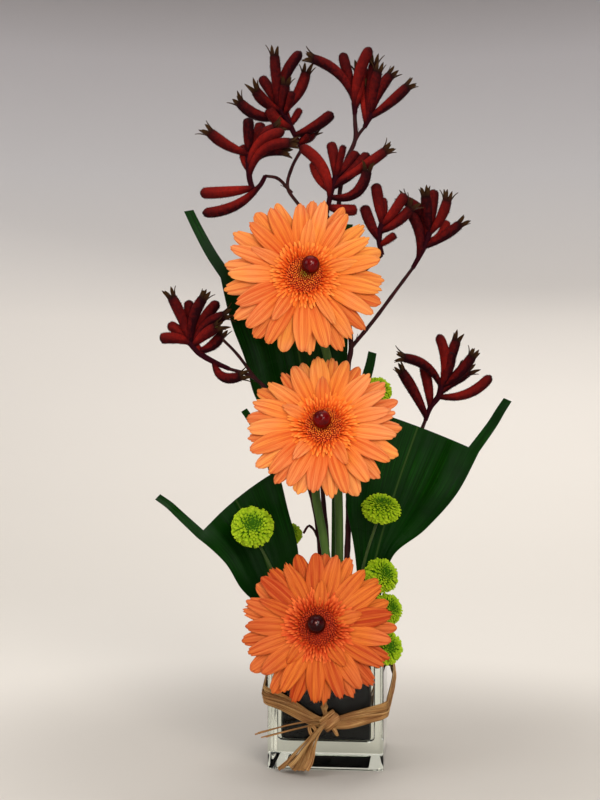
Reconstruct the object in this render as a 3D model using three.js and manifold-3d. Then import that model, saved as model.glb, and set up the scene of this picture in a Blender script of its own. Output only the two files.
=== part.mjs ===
// Gerberas in a glass cube vase: a tall florist's arrangement.
// Millimetres, +Z up, the front towards -Y. The origin is the centre of the vase's underside.
import * as THREE from "three";
import { mergeVertices } from "three/addons/utils/BufferGeometryUtils.js";
import Module from "manifold-3d";

const wasm = await Module();
wasm.setup();

// Driving dimensions

const GAP = 0.3; // clearance between pieces that rest against each other
const STALK_STEP = 20; // length of one straight stretch of a stalk

const VASE = {
  width: 80,
  height: 80,
  corner: 3, // radius of the upright edges
  edge: 1, // rounding of the horizontal edges
  turn: -5.5, // degrees about the upright axis, right front corner forward
  wall: 6,
  floor: 18.5,
  hollowCorner: 7,
  hollowEdge: 3.5, // rounding where the hollow's sides meet its floor
};
const LINER = { wall: 0.8, rim: 1.5 }; // rim: how far its top lies under the vase's rim
const FOAM = { top: 82, stemEnd: 54 }; // the stems' cut ends stand at this height inside the foam

const TIE = {
  clearance: 1.9, // from the glass to the middle of the band
  band: { halfHeight: 4.9, halfThickness: 1.2, groove: 0.8 }, // two strips side by side, a groove between
  // Height and looseness of the band: front, then each corner and side in turn, counter-clockwise
  heights: [33.5, 42, 56, 64, 67, 64, 58, 50],
  looseness: [0, 0.3, 4, 1, 0, 0.4, 1.6, 0.6],
  // Right, out from the front of the band and up, with the half sizes and the lean of the knot
  knot: { at: [3.5, 2, 35], size: [7, 3.2, 6.2], lean: -35 },
  turn: { at: [0.5, 3, 31], radius: 5, thickness: 1.9, stretch: [0.75, 1, 1.3], lean: -30 },
  // Loose ends from the knot out: the same three measures, and the half width at each end
  tails: [
    { widths: [3.2, 6], thickness: 1.2, path: [[-0.5, 2.5, 30], [-9, 8, 18], [-16, 12, 8], [-22, 15, 2.2]] },
    { widths: [3, 5.6], thickness: 1.2, path: [[-0.5, 2.5, 30], [-6, 10, 17], [-11, 17, 7], [-14, 21, 2.2]] },
    { widths: [1.8, 1.3], thickness: 0.9, path: [[-1.5, 1.5, 34], [-24, 5, 29], [-45, 8, 23]] },
    { widths: [1.7, 1.2], thickness: 0.9, path: [[-1.5, 1.5, 36], [-25, 4, 32], [-47.5, 6.5, 26]] },
    { widths: [3.2, 2.6], thickness: 1, path: [[1.5, 1, 37], [-0.5, 2, 44], [0.5, 2.6, 50]] },
    { widths: [1.5, 1.1], thickness: 0.9, path: [[4.5, 3, 33], [7.5, 5, 29], [9.5, 7, 26]] },
  ],
};

// Each gerbera: where its disc sits, how far it looks up and to the right, its reach, its berry, its stem
const GERBERAS = [
  {
    name: "gerbera_top",
    at: [-18, -34, 340],
    up: 13,
    aside: 5,
    reach: 57,
    berry: [3.5, 4.5],
    stem: [[-16, -10, 321], [-2, -2, 287], [4, -2, 230], [6.5, -2, 183], [7, -1, 120], [7, -1, 82]],
    seed: 11,
  },
  {
    name: "gerbera_middle",
    at: [-5, -48, 236],
    up: 27,
    aside: -2,
    reach: 54,
    berry: [-1, 0.5],
    stem: [[-7, -26, 217], [-10, -15, 190], [-5, -13, 160], [-1, -12, 130], [1, -11, 82]],
    seed: 23,
  },
  {
    name: "gerbera_low",
    at: [-9, -70, 103],
    up: 16,
    aside: -2,
    reach: 52,
    berry: [-1, 1],
    stem: [[-8.5, -46, 96], [-8, -34, 90], [-7.5, -24, 80], [-7, -18, 68]],
    seed: 37,
  },
];
const BLOOM = {
  petals: 17, // in each of two layers
  petalWidth: 12.4,
  petalThickness: 1.4, // along the ridge
  // A petal's outline: places along it, and its width and thickness there
  petalStations: [0, 0.64, 0.91, 1],
  petalWidths: [0.28, 1, 0.72, 0.26],
  petalHeights: [1, 1, 0.8, 0.6],
  // The lower layer and the upper, half a step round from it
  layers: [
    { share: 1, rise: 2.4, droop: 3.4, lift: -1.75, start: 0 },
    { share: 0.9, rise: 4, droop: 2, lift: -0.1, start: 0.5 },
  ],
  root: 10.5, // radius where the petals leave the core
  core: 12.5,
  coreBase: -2.6,
  coreTop: 0.6,
  disc: 12,
  discHeight: 4.2,
  florets: 13, // points of the fringe of short florets round the disc
  floretReach: 19,
  berry: 5.8,
  cup: 10,
  cupDepth: 10,
  stem: 3,
};

// Leaves: left edge, midrib and right edge from the base to the square cut, then the two margin ribbons
const LEAVES = [
  {
    name: "leaf_back",
    left: [[2, 17, 189], [-20, 12, 219], [-51, 5, 253], [-60, 4, 282], [-70, 5, 308], [-78, 6, 342]],
    rib: [[3.5, 18, 189], [-10, 17, 232], [-21, 14, 283], [-27, 12, 319], [-30, 11, 349]],
    right: [[5, 17, 189], [8, 13, 232], [13, 7, 286], [12, 6, 319], [9, 7, 349]],
    leftRibbon: [[-88, 5, 357], [-97, 4, 374], [-104, 2, 389]],
    rightRibbon: [[13, 6, 364], [17, 5, 380]],
    stalk: [[3.5, 18, 193], [3, 20, 140], [1, 20, 82]],
  },
  {
    name: "leaf_left",
    left: [[-29, -4, 94], [-46, -8, 107], [-63, -10, 121], [-74, -11, 140], [-94, -12, 157]],
    rib: [[-26, -2, 93], [-38, -1, 119], [-50, 0, 151], [-67, -1, 183]],
    right: [[-23, -4, 93], [-20, -6, 112], [-22, -7, 141], [-29, -7, 175], [-37, -6, 204]],
    leftRibbon: [[-107, -13, 170], [-115, -14, 178], [-123, -14, 184]],
    rightRibbon: [[-46, -5, 227], [-52, -4, 238], [-59, -2, 248]],
    stalk: [[-27, -1.5, 97], [-23, -3, 88], [-21, -3, 80]],
  },
  {
    name: "leaf_right",
    left: [[22, 5, 93], [20, 5, 137], [12, 5, 182], [15, 5, 225], [19, 4, 250]],
    rib: [[24.5, 6, 92], [28, 9, 110], [34, 10, 142], [48, 10, 189], [64, 9, 235]],
    right: [[27, 5, 93], [36, 6, 112], [47, 4, 144], [69, 3, 162], [90, 2, 185], [107, 1, 217]],
    leftRibbon: [[23, 3, 270], [26, 2, 280], [28, 1, 289]],
    rightRibbon: [[120, 0, 236], [125, -1, 245], [130, -1, 253]],
    stalk: [[25, 6.5, 96], [23, 5, 88], [22, 4, 80]],
  },
];
const BLADE = { thickness: 0.8, margin: 0.17, stalk: 1.6, ribbonTaper: 0.25 };

// Button chrysanthemums: centre, radius, depth against width, the way the face looks, and the stem
const BUTTONS = [
  { at: [-54, -26, 166], radius: 14.5, depth: 0.72, face: [0.05, -0.85, 0.5],
    stem: [[-52, -20, 157], [-42, -24, 139], [-30, -21, 112], [-20, -17, 84], [-18, -16, 70]] },
  { at: [36, -18, 178], radius: 14, depth: 0.72, face: [0.12, -0.3, 0.95],
    stem: [[33, -15, 168], [25, -15, 143], [18, -14, 110], [12.5, -13, 82], [12, -13, 70]] },
  { at: [-28, 15, 157], radius: 8.6, depth: 0.8, face: [0.2, -0.7, 0.7],
    stem: [[-27, 17, 150], [-23, 15, 128], [-16, 13, 100], [-14, 13, 82], [-14, 13, 70]] },
  { at: [36, 18, 261], radius: 10, depth: 0.78, face: [0.3, -0.8, 0.5],
    stem: [[34, 22, 254], [30, 18, 200], [24, 16, 140], [18.5, 14, 84], [18, 14, 70]] },
  { at: [36, -24, 132], radius: 12.4, depth: 0.76, face: [0.55, -0.65, 0.5],
    stem: [[31, -18, 124], [27, -13, 108], [21, -9.5, 90], [20, -9, 80], [20, -9, 70]] },
  { at: [40, -30, 109], radius: 11, depth: 0.8, face: [0.65, -0.65, 0.4],
    stem: [[35, -25, 104], [31, -18, 94], [27.5, -14.5, 84], [27, -14, 78], [27, -14, 70]] },
  { at: [37, -57.5, 87.5], radius: 11.6, depth: 0.78, face: [0.5, -0.8, 0.3],
    stem: [[34, -51, 88], [32, -42, 91], [29, -31, 89], [26.5, -23, 81], [26, -22, 70]] },
  { at: [-43, -46.5, 86], radius: 9.5, depth: 0.8, face: [-0.55, -0.8, 0.3],
    stem: [[-40, -42, 87], [-35, -35, 89], [-28, -25, 86], [-25, -20.5, 79], [-24.5, -20, 70]] },
];
const BUTTON = { rings: 7, segments: 10, stud: 0.11, dimple: 0.32, stem: 1.2 };

// Kangaroo paw stems: radius at the foot and at the end of each branch, and its points from the foam up
const PAW_STEMS = [
  {
    name: "paw_stem_tall",
    branches: [
      { radii: [2.3, 1.5],
        path: [[9.5, 10.5, 54], [9.5, 10.5, 82], [14, 14, 163], [14, 14, 279], [16, 14, 292], [12, 16, 327],
          [9, 16, 354], [7, 15, 381], [8, 15, 406], [13, 18, 429], [19, 20, 443], [19, 22, 462]] },
      { radii: [1.5, 1.2], path: [[16, 14, 292], [31, 13, 310], [49, 15, 334], [61, 18, 350]] },
      { radii: [1.3, 1.1], path: [[10.5, 16, 338], [24, 10, 346], [38, 4, 358]] },
      { radii: [1.3, 1.2], path: [[7, 15, 372], [2, 9, 380], [-2, 3, 387]] },
      { radii: [1.4, 1.1], path: [[19, 20, 443], [22, 21, 448], [26, 22, 453]] },
    ],
  },
  {
    name: "paw_stem_left",
    branches: [
      { radii: [1.9, 1.2],
        path: [[-8, 23, 54], [-8, 23, 82], [-1, 24, 144], [-5, 23, 232], [-12, 22, 305], [-17, 22, 364],
          [-19, 22, 391], [-30, 22, 409], [-27, 25, 424], [-20, 29, 438]] },
      { radii: [1.3, 1.1], path: [[-27, 22, 405], [-37, 18, 415], [-46, 12, 416]] },
    ],
  },
  {
    name: "paw_stem_low",
    branches: [
      { radii: [1.7, 1.2],
        path: [[-9, 3, 54], [-9, 3, 82], [-9, 2, 147], [-15, 0, 186], [-28, -3, 226], [-45, -6, 262],
          [-58, -8, 272], [-71, -8, 276]] },
      { radii: [1.2, 0.8], path: [[-9.5, 1.5, 160], [-13, -2, 165], [-19, -3, 166.5]] },
    ],
  },
  {
    name: "paw_stem_right",
    branches: [
      { radii: [1.7, 1.3],
        path: [[24, 23, 54], [24, 23, 82], [28, 24, 100], [40, 26, 150], [56, 27, 200], [71, 28, 239]] },
    ],
  },
];

// Kangaroo paw heads: the root on its stem, the axis as offsets from it, and one row for each flower:
// place along the axis, offset of the tip (right, back, up), sideways bow of its middle, and its kind
const BUD = 0;
const SHUT = 1;
const OPEN = 2;
const PAW_HEADS = [
  {
    name: "paw_head_crown",
    root: [-20, 29, 438],
    axis: [[-4, 0, 9], [-10, 1, 21], [-17, 2, 31]],
    flowers: [
      [1, -20, -6, 73, 0, OPEN], [0.95, 0, 4, 73, -5, SHUT], [0.9, 6, 10, 62, 3, OPEN],
      [1, -30, 12, 56, 1, SHUT], [0.92, -37, -10, 44, -2, OPEN], [0.8, -50, 3, 36, -5, OPEN],
      [0.8, -7, -9, 41, 1, BUD], [0.55, -1, 12, 32, 0, BUD], [0.33, 23, -6, 26, 2, SHUT],
      [0.18, 12, 9, 16, 1, OPEN], [0.6, -22, 17, 40, 2, SHUT],
    ],
  },
  {
    name: "paw_head_peak",
    root: [19, 22, 462],
    axis: [[0, 0, 4], [0, 0, 9]],
    flowers: [
      [1, -34, -4, 44, 6, OPEN], [1, -9, 6, 47, 0, SHUT], [0.7, 11, -10, 47, -3, SHUT],
      [0.5, 4, 14, 40, 2, OPEN],
    ],
  },
  {
    name: "paw_head_side",
    root: [26, 22, 453],
    axis: [[2, 0, 4], [5, 0, 10]],
    flowers: [
      [1, 10, -8, 44, -1, OPEN], [0.9, 21, 10, 44, -2, OPEN], [0.7, 35, -3, 32, 1, OPEN],
    ],
  },
  {
    name: "paw_head_west",
    root: [-46, 12, 416],
    axis: [[-5, 0, -1], [-9, 0, 3], [-11, 0, 13]],
    flowers: [
      [1, -44, -8, 32, -2, OPEN], [1, -12, -10, 40, 0, SHUT], [0.95, -4, 8, 40, 2, SHUT],
      [0.9, 10, -4, 38, -4, OPEN], [0.3, 22, -12, 25, -8, OPEN], [0.6, -16, 14, 24, -1, SHUT],
      [0.4, -47, -4, -13, -4, SHUT], [0.25, -45, -9, -28, -12, SHUT],
    ],
  },
  {
    name: "paw_head_centre",
    root: [-2, 3, 387],
    axis: [[2, -1, 10], [4, -1, 19], [7, -1, 27]],
    flowers: [
      [0.45, -19, -4, 48, 6, SHUT], [0.95, 3, 8, 53, 1, SHUT], [1, 12, -9, 48, 0, BUD],
      [1, 22, 8, 46, 1, SHUT], [0.8, 46, -5, 47, 1, OPEN], [0.45, 33, -9, 32, 8, OPEN],
      [0.2, 22, 6, 4, 1, SHUT], [0.6, -9, 17, 40, -2, SHUT],
    ],
  },
  {
    name: "paw_head_inner",
    root: [38, 4, 358],
    axis: [[-2, 0, 8], [-2, 0, 16], [0, 0, 22]],
    flowers: [
      [1, -5, -3, 51, 0, SHUT], [1, 1, 9, 42, 1, BUD], [0.95, 16, -7, 43, 1, SHUT],
      [0.75, 24, -4, 36, 2, OPEN], [0.5, -13, 3, 36, -1, SHUT], [0.3, 9, -6, 14, 0, BUD],
    ],
  },
  {
    name: "paw_head_east",
    root: [61, 18, 350],
    axis: [[5, 0, 9], [9, 0, 17], [12, 0, 26]],
    flowers: [
      [0.3, -2, -1, 40, 4, SHUT], [0.7, -6, 5, 54, 7, OPEN], [1, 8, -8, 56, 0, OPEN],
      [1, 16, 7, 58, 0, SHUT], [0.95, 27, -5, 53, 2, OPEN], [0.75, 25, 12, 36, 5, SHUT],
      [0.6, 38, -3, 34, 1, OPEN],
    ],
  },
  {
    name: "paw_head_low",
    root: [-71, -8, 276],
    axis: [[-11, 0, 5], [-21, 0, 11], [-28, 0, 19]],
    flowers: [
      [1, -42, -7, 55, 1, OPEN], [0.98, -29, 3, 49, 0, SHUT], [0.95, -17, -11, 54, -3, OPEN],
      [0.9, 0, -6, 41, -4, OPEN], [0.75, -2, 2, 26, 2, OPEN], [0.97, -49, -4, 21, 2, SHUT],
      [0.35, 12, -9, -8, 6, OPEN], [0.6, -44, 5, 32, 2, SHUT],
    ],
  },
  {
    name: "paw_head_right",
    root: [71, 28, 239],
    axis: [[4, 0, 10], [10, 0, 18], [12, 0, 26]],
    flowers: [
      [0.08, -20, -5, 40, 1, OPEN], [0.35, -1, 7, 41, 1, SHUT], [0.95, -20, -9, 49, 5, OPEN],
      [0.98, 9, -4, 63, 4, SHUT], [1, 25, 8, 63, 0, OPEN], [0.95, 37, -7, 50, 2, OPEN],
      [0.85, 36, 9, 38, 0, OPEN], [0.7, 48, -2, 33, 6, SHUT],
    ],
  },
];
const PAW = {
  axisRadii: [1.3, 1.5],
  sides: 4,
  thickness: [2.3, 3.6, 3.7], // radius of a bud, a shut flower and an open one
  stations: [0, 0.4, 0.82, 1],
  shut: [0.5, 0.95, 1, 0.4],
  open: [0.45, 0.85, 1, 0.8],
  lobes: { reach: 4.2, forward: 4.5, throat: -2 }, // the points round an open mouth, and its hollow
};

const COLOURS = {
  glass: { color: 0xdfeee6, roughness: 0.05, metalness: 0, transparent: true, opacity: 0.35 },
  liner: { color: 0x0b0b0e, roughness: 0.35, metalness: 0 },
  foam: { color: 0x2c4a2c, roughness: 0.95, metalness: 0 },
  raffia: { color: 0xb08456, roughness: 0.8, metalness: 0 },
  petal: { color: 0xf58a4b, roughness: 0.6, metalness: 0 },
  disc: { color: 0xc2461c, roughness: 0.8, metalness: 0 },
  berry: { color: 0x7a0a12, roughness: 0.12, metalness: 0 },
  greenStem: { color: 0x4d6b2f, roughness: 0.6, metalness: 0 },
  leaf: { color: 0x123420, roughness: 0.3, metalness: 0 },
  button: { color: 0x9ac325, roughness: 0.75, metalness: 0 },
  pawStem: { color: 0x4a2420, roughness: 0.7, metalness: 0 },
  pawFlower: { color: 0x6e1218, roughness: 0.85, metalness: 0 },
};

// Solids and meshes

const radians = THREE.MathUtils.degToRad;
const vector = (point) => new THREE.Vector3(...point);

/** A closed three.js geometry as a solid that can be joined and cut. */
function solidOf(geometry) {
  const bare = geometry.clone();
  bare.deleteAttribute("normal");
  bare.deleteAttribute("uv");
  const merged = mergeVertices(bare, 1e-4);
  return new wasm.Manifold(
    new wasm.Mesh({
      numProp: 3,
      vertProperties: Float32Array.from(merged.attributes.position.array),
      triVerts: Uint32Array.from(merged.index.array),
    }),
  );
}

/** A solid back as a three.js geometry. */
function geometryOf(solid) {
  const { vertProperties, triVerts, numProp, numVert } = solid.getMesh();
  const positions = new Float32Array(numVert * 3);
  for (let i = 0; i < numVert; i++)
    positions.set(vertProperties.subarray(i * numProp, i * numProp + 3), i * 3);
  const geometry = new THREE.BufferGeometry();
  geometry.setAttribute("position", new THREE.BufferAttribute(positions, 3));
  geometry.setIndex(new THREE.BufferAttribute(Uint32Array.from(triVerts), 1));
  geometry.computeVertexNormals();
  return geometry;
}

/** One solid from several that run into each other. */
function fused(geometries) {
  return wasm.Manifold.union(geometries.map(solidOf));
}

/** The main body of a solid, without the loose scraps that a cut can leave. */
function mainBody(solid) {
  return solid.decompose().reduce((main, body) => (body.volume() > main.volume() ? body : main));
}

function piece(name, geometry, colour) {
  const mesh = new THREE.Mesh(geometry, new THREE.MeshStandardMaterial(COLOURS[colour]));
  mesh.name = name;
  return mesh;
}

/** Repeatable random numbers between -1 and 1. */
function randomFrom(seed) {
  let state = seed;
  return () => {
    state = (state * 1664525 + 1013904223) % 4294967296;
    return state / 2147483648 - 1;
  };
}

/**
 * A closed skin over a row of rings of equal count, which run counter-clockwise about the way the row goes.
 * An apex closes the far end to a point, and flat fans close what is left.
 */
function loft(rings, apex = null) {
  const count = rings[0].length;
  const points = rings.flat();
  const faces = [];
  for (let i = 0; i + 1 < rings.length; i++)
    for (let j = 0; j < count; j++) {
      const [a, b] = [i * count + j, i * count + ((j + 1) % count)];
      faces.push(a, b, b + count, a, b + count, a + count);
    }
  for (let j = 1; j + 1 < count; j++) faces.push(0, j + 1, j);
  const last = (rings.length - 1) * count;
  if (apex) {
    points.push(apex);
    for (let j = 0; j < count; j++) faces.push(last + j, last + ((j + 1) % count), points.length - 1);
  } else {
    for (let j = 1; j + 1 < count; j++) faces.push(last, last + j, last + j + 1);
  }
  return new THREE.BufferGeometry().setFromPoints(points).setIndex(faces);
}

/** Rings of a round section carried along a curve: shares of its length, and the radius at each. */
function ringsAlong(curve, shares, radii, sides) {
  let side = null;
  return shares.map((share, i) => {
    const tangent = curve.getTangentAt(share);
    const start = Math.abs(tangent.y) < 0.9 ? new THREE.Vector3(0, 1, 0) : new THREE.Vector3(1, 0, 0);
    side = (side ?? start).clone().addScaledVector(tangent, -(side ?? start).dot(tangent)).normalize();
    const other = new THREE.Vector3().crossVectors(tangent, side);
    const centre = curve.getPointAt(share);
    return Array.from({ length: sides }, (_, j) => {
      const angle = (2 * Math.PI * j) / sides;
      return centre
        .clone()
        .addScaledVector(side, radii[i] * Math.cos(angle))
        .addScaledVector(other, radii[i] * Math.sin(angle));
    });
  });
}

/** A stalk through the given points, thinning from the first radius to the second. */
function stalk(points, radii, sides, room = 0) {
  const curve = new THREE.CatmullRomCurve3(points.map(vector), false, "centripetal");
  const steps = Math.max(3, Math.round(curve.getLength() / STALK_STEP));
  const shares = Array.from({ length: steps + 1 }, (_, i) => i / steps);
  const radiusAt = (share) => THREE.MathUtils.lerp(radii[0], radii[1], share) + room;
  const rings = ringsAlong(curve, shares, shares.map(radiusAt), sides);
  rings[0].forEach((point) => point.addScaledVector(curve.getTangentAt(0), -room));
  rings[steps].forEach((point) => point.addScaledVector(curve.getTangentAt(1), room));
  return loft(rings);
}

// The vase, its liner and its foam

function roundedSquare(half, radius) {
  const inner = half - radius;
  const shape = new THREE.Shape();
  shape.moveTo(-inner, -half);
  shape.lineTo(inner, -half);
  shape.absarc(inner, -inner, radius, -Math.PI / 2, 0);
  shape.lineTo(half, inner);
  shape.absarc(inner, inner, radius, 0, Math.PI / 2);
  shape.lineTo(-inner, half);
  shape.absarc(-inner, inner, radius, Math.PI / 2, Math.PI);
  shape.lineTo(-half, -inner);
  shape.absarc(-inner, -inner, radius, Math.PI, 1.5 * Math.PI);
  return shape;
}

/** An upright block with a rounded square plan and rounded edges at its floor and top. */
function roundedBlock(half, corner, edge, low, high) {
  const options = {
    depth: high - low - 2 * edge,
    bevelThickness: edge,
    bevelSize: edge,
    bevelSegments: 1,
    curveSegments: 3,
  };
  const geometry = new THREE.ExtrudeGeometry(roundedSquare(half - edge, corner - edge), options);
  return geometry.translate(0, 0, low + edge);
}

/** The vase's hollow, smaller all round by the inset, and cut off flat at the given height. */
function hollowFilling(inset, top) {
  const half = VASE.width / 2 - VASE.wall - inset;
  const corner = VASE.hollowCorner - inset / 2;
  const low = VASE.floor + inset;
  const block = roundedBlock(half, corner, VASE.hollowEdge, low, top + 2 * VASE.hollowEdge);
  const keep = new THREE.BoxGeometry(VASE.width, VASE.width, top - low + 1);
  return solidOf(block).intersect(solidOf(keep.translate(0, 0, (top + low - 1) / 2)));
}

function vaseSolid() {
  const outer = solidOf(roundedBlock(VASE.width / 2, VASE.corner, VASE.edge, 0, VASE.height));
  return outer.subtract(hollowFilling(0, VASE.height + 1));
}

function linerSolid() {
  const top = VASE.height - LINER.rim;
  return hollowFilling(GAP, top).subtract(hollowFilling(GAP + LINER.wall, top + 1));
}

function foamSolid(holes) {
  const block = geometryOf(hollowFilling(2 * GAP + LINER.wall, FOAM.top));
  block.rotateZ(radians(VASE.turn));
  return solidOf(block).subtract(wasm.Manifold.union(holes));
}

// The raffia tie, in the vase's own turned frame

/** Points round the vase at the middle of the band: place, outward direction, and share of the round. */
function tieTrack() {
  const reach = VASE.width / 2 + TIE.clearance;
  const radius = VASE.corner + TIE.clearance;
  const centre = reach - radius;
  const track = [];
  const add = (x, y, angle) => {
    const outward = new THREE.Vector2(Math.cos(angle), Math.sin(angle));
    const share = (Math.atan2(x, -y) / (2 * Math.PI) + 1) % 1;
    track.push({ x, y, outward, share });
  };
  for (let k = 0; k < 4; k++) {
    const turn = (k * Math.PI) / 2;
    const place = (along, out, angle) =>
      add(
        out * Math.sin(turn) + along * Math.cos(turn),
        -out * Math.cos(turn) + along * Math.sin(turn),
        angle + turn,
      );
    for (const along of [-centre / 3, centre / 3]) place(along, reach, -Math.PI / 2);
    for (let j = 0; j <= 3; j++) {
      const angle = (j * Math.PI) / 6;
      place(centre + radius * Math.sin(angle), centre + radius * Math.cos(angle), angle - Math.PI / 2);
    }
  }
  return track;
}

/** A smooth value round the tie from its eight given values. */
function roundTie(values, share) {
  const at = share * values.length;
  const i = Math.floor(at);
  const blend = (1 - Math.cos(Math.PI * (at - i))) / 2;
  return THREE.MathUtils.lerp(values[i % values.length], values[(i + 1) % values.length], blend);
}

/** The band as a closed ring of flat sections, grooved along the outside where its strips meet. */
function tieBand() {
  const { halfHeight, halfThickness, groove } = TIE.band;
  const section = [
    [-halfThickness, -halfHeight],
    [-halfThickness, halfHeight],
    [halfThickness * 0.6, halfHeight],
    [halfThickness, halfHeight * 0.5],
    [halfThickness - groove, 0],
    [halfThickness, -halfHeight * 0.6],
    [halfThickness * 0.6, -halfHeight],
  ];
  const count = section.length;
  const rings = tieTrack().map(({ x, y, outward, share }) => {
    const slack = roundTie(TIE.looseness, share);
    const z = roundTie(TIE.heights, share);
    return section.map(([out, rise]) =>
      new THREE.Vector3(x + outward.x * (slack + out), y + outward.y * (slack + out), z + rise),
    );
  });
  const faces = [];
  rings.forEach((_, i) => {
    for (let j = 0; j < count; j++) {
      const [a, b] = [i * count + j, i * count + ((j + 1) % count)];
      const next = ((i + 1) % rings.length) * count;
      const [c, d] = [next + ((j + 1) % count), next + j];
      faces.push(a, b, c, a, c, d);
    }
  });
  return new THREE.BufferGeometry().setFromPoints(rings.flat()).setIndex(faces);
}

/** A loose flat tail whose width stays level, its half width going from one value to another. */
function tieTail(points, widths, thickness) {
  const curve = new THREE.CatmullRomCurve3(points.map(vector), false, "centripetal");
  const steps = 4;
  const rings = Array.from({ length: steps + 1 }, (_, i) => {
    const share = i / steps;
    const tangent = curve.getTangentAt(share);
    const across = new THREE.Vector3().crossVectors(tangent, new THREE.Vector3(0, 0, 1)).normalize();
    const out = new THREE.Vector3().crossVectors(tangent, across);
    const width = THREE.MathUtils.lerp(...widths, share);
    return [[1, 0], [0, 1], [-1, 0], [0, -1]].map(([w, t]) =>
      curve.getPointAt(share).addScaledVector(across, w * width).addScaledVector(out, t * thickness),
    );
  });
  return loft(rings);
}

function tieGeometries() {
  const front = -VASE.width / 2 - TIE.clearance;
  const inFront = ([x, out, z]) => [x, front - out, z];
  const { knot, turn, tails } = TIE;
  const lump = new THREE.SphereGeometry(1, 10, 7)
    .scale(...knot.size)
    .rotateY(radians(knot.lean))
    .translate(...inFront(knot.at));
  const loop = new THREE.TorusGeometry(turn.radius, turn.thickness, 5, 10)
    .scale(...turn.stretch)
    .rotateX(radians(90))
    .rotateY(radians(turn.lean))
    .translate(...inFront(turn.at));
  const ends = tails.map(({ path, widths, thickness }) => tieTail(path.map(inFront), widths, thickness));
  return [tieBand(), lump, loop, ...ends];
}

// Gerberas, each in its own frame: +Z is the way the flower looks, +Y its upper side

/** The place and turn of a bloom as a matrix. */
function bloomMatrix({ at, up, aside }) {
  const look = new THREE.Vector3(0, -1, 0)
    .applyAxisAngle(new THREE.Vector3(1, 0, 0), -radians(up))
    .applyAxisAngle(new THREE.Vector3(0, 0, 1), radians(aside));
  const right = new THREE.Vector3().crossVectors(new THREE.Vector3(0, 0, 1), look).normalize();
  const above = new THREE.Vector3().crossVectors(look, right);
  return new THREE.Matrix4().makeBasis(right, above, look).setPosition(...at);
}

/** A strap petal: narrow at its root, widest past the middle, round at its tip, ridged along its length. */
function petal(angle, reach, rise, droop, lift) {
  const way = new THREE.Vector3(Math.cos(angle), Math.sin(angle), 0);
  const across = new THREE.Vector3(-way.y, way.x, 0);
  const rings = BLOOM.petalStations.map((s, i) => {
    const radius = THREE.MathUtils.lerp(BLOOM.root, reach, s);
    const z = lift + rise * Math.sin(0.58 * Math.PI * s) - droop * s ** 3;
    const half = (BLOOM.petalWidths[i] * BLOOM.petalWidth) / 2;
    const thick = BLOOM.petalHeights[i] * BLOOM.petalThickness;
    return [[half, -0.4 * thick], [0, 0.6 * thick], [-half, -0.4 * thick]].map(([w, h]) =>
      way.clone().multiplyScalar(radius).addScaledVector(across, w).setZ(z + h),
    );
  });
  return loft(rings);
}

function petalsSolid({ reach, seed }) {
  const random = randomFrom(seed);
  const core = new THREE.LatheGeometry(
    [
      [0, BLOOM.coreBase],
      [BLOOM.core - 0.4, BLOOM.coreBase],
      [BLOOM.core, BLOOM.coreTop],
      [0, BLOOM.coreTop],
    ].map(([r, z]) => new THREE.Vector2(r, z)),
    BLOOM.petals,
  ).rotateX(Math.PI / 2);
  const petals = BLOOM.layers.flatMap(({ share, rise, droop, lift, start }) =>
    Array.from({ length: BLOOM.petals }, (_, i) => {
      const angle = (2 * Math.PI * (i + start + 0.08 * random())) / BLOOM.petals;
      return petal(angle, reach * share * (1 + 0.035 * random()), rise, droop * (1 + 0.3 * random()), lift);
    }),
  );
  return fused([core, ...petals]);
}

/** A round head from a profile of radius, height and stud: every other point stands proud by the stud. */
function studded(profile, segments) {
  const points = [];
  const faces = [];
  const rings = profile.length - 2;
  profile.slice(1, -1).forEach(([radius, z, stud], i) => {
    for (let j = 0; j < segments; j++) {
      const angle = (2 * Math.PI * (j + 0.5 * (i % 2))) / segments;
      const out = radius + (j % 2 ? stud : -stud);
      points.push(new THREE.Vector3(out * Math.cos(angle), out * Math.sin(angle), z));
    }
  });
  const [bottom, top] = [points.length, points.length + 1];
  points.push(new THREE.Vector3(0, 0, profile[0][1]), new THREE.Vector3(0, 0, profile.at(-1)[1]));
  for (let j = 0; j < segments; j++) {
    const next = (j + 1) % segments;
    for (let i = 0; i + 1 < rings; i++) {
      const [a, b] = [i * segments + j, i * segments + next];
      faces.push(a, b, b + segments, a, b + segments, a + segments);
    }
    const last = (rings - 1) * segments;
    faces.push(bottom, next, j, top, last + j, last + next);
  }
  return new THREE.BufferGeometry().setFromPoints(points).setIndex(faces);
}

/** The disc: a studded dome whose rim runs out in the points of the short florets, and the berry's seat. */
function discSolid(berryAt) {
  const base = BLOOM.coreTop + GAP;
  const fringe = (BLOOM.floretReach - BLOOM.disc) / 2;
  const dome = [
    [0, base],
    [BLOOM.disc - 1.6, base, 0],
    [BLOOM.disc + fringe, base + 3.6, fringe],
    [BLOOM.disc * 0.8, base + 0.8 * BLOOM.discHeight, 0.6],
    [BLOOM.disc * 0.42, base + BLOOM.discHeight, 0.6],
    [0, base + 0.9 * BLOOM.discHeight],
  ];
  const seat = berryGeometry(berryAt, BLOOM.berry + GAP);
  return solidOf(studded(dome, 2 * BLOOM.florets)).subtract(solidOf(seat));
}

function berryGeometry([x, y], radius) {
  const height = BLOOM.coreTop + GAP + BLOOM.discHeight + 0.8 * BLOOM.berry;
  return new THREE.SphereGeometry(radius, 9, 6).rotateX(Math.PI / 2).translate(x, y, height);
}

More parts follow.
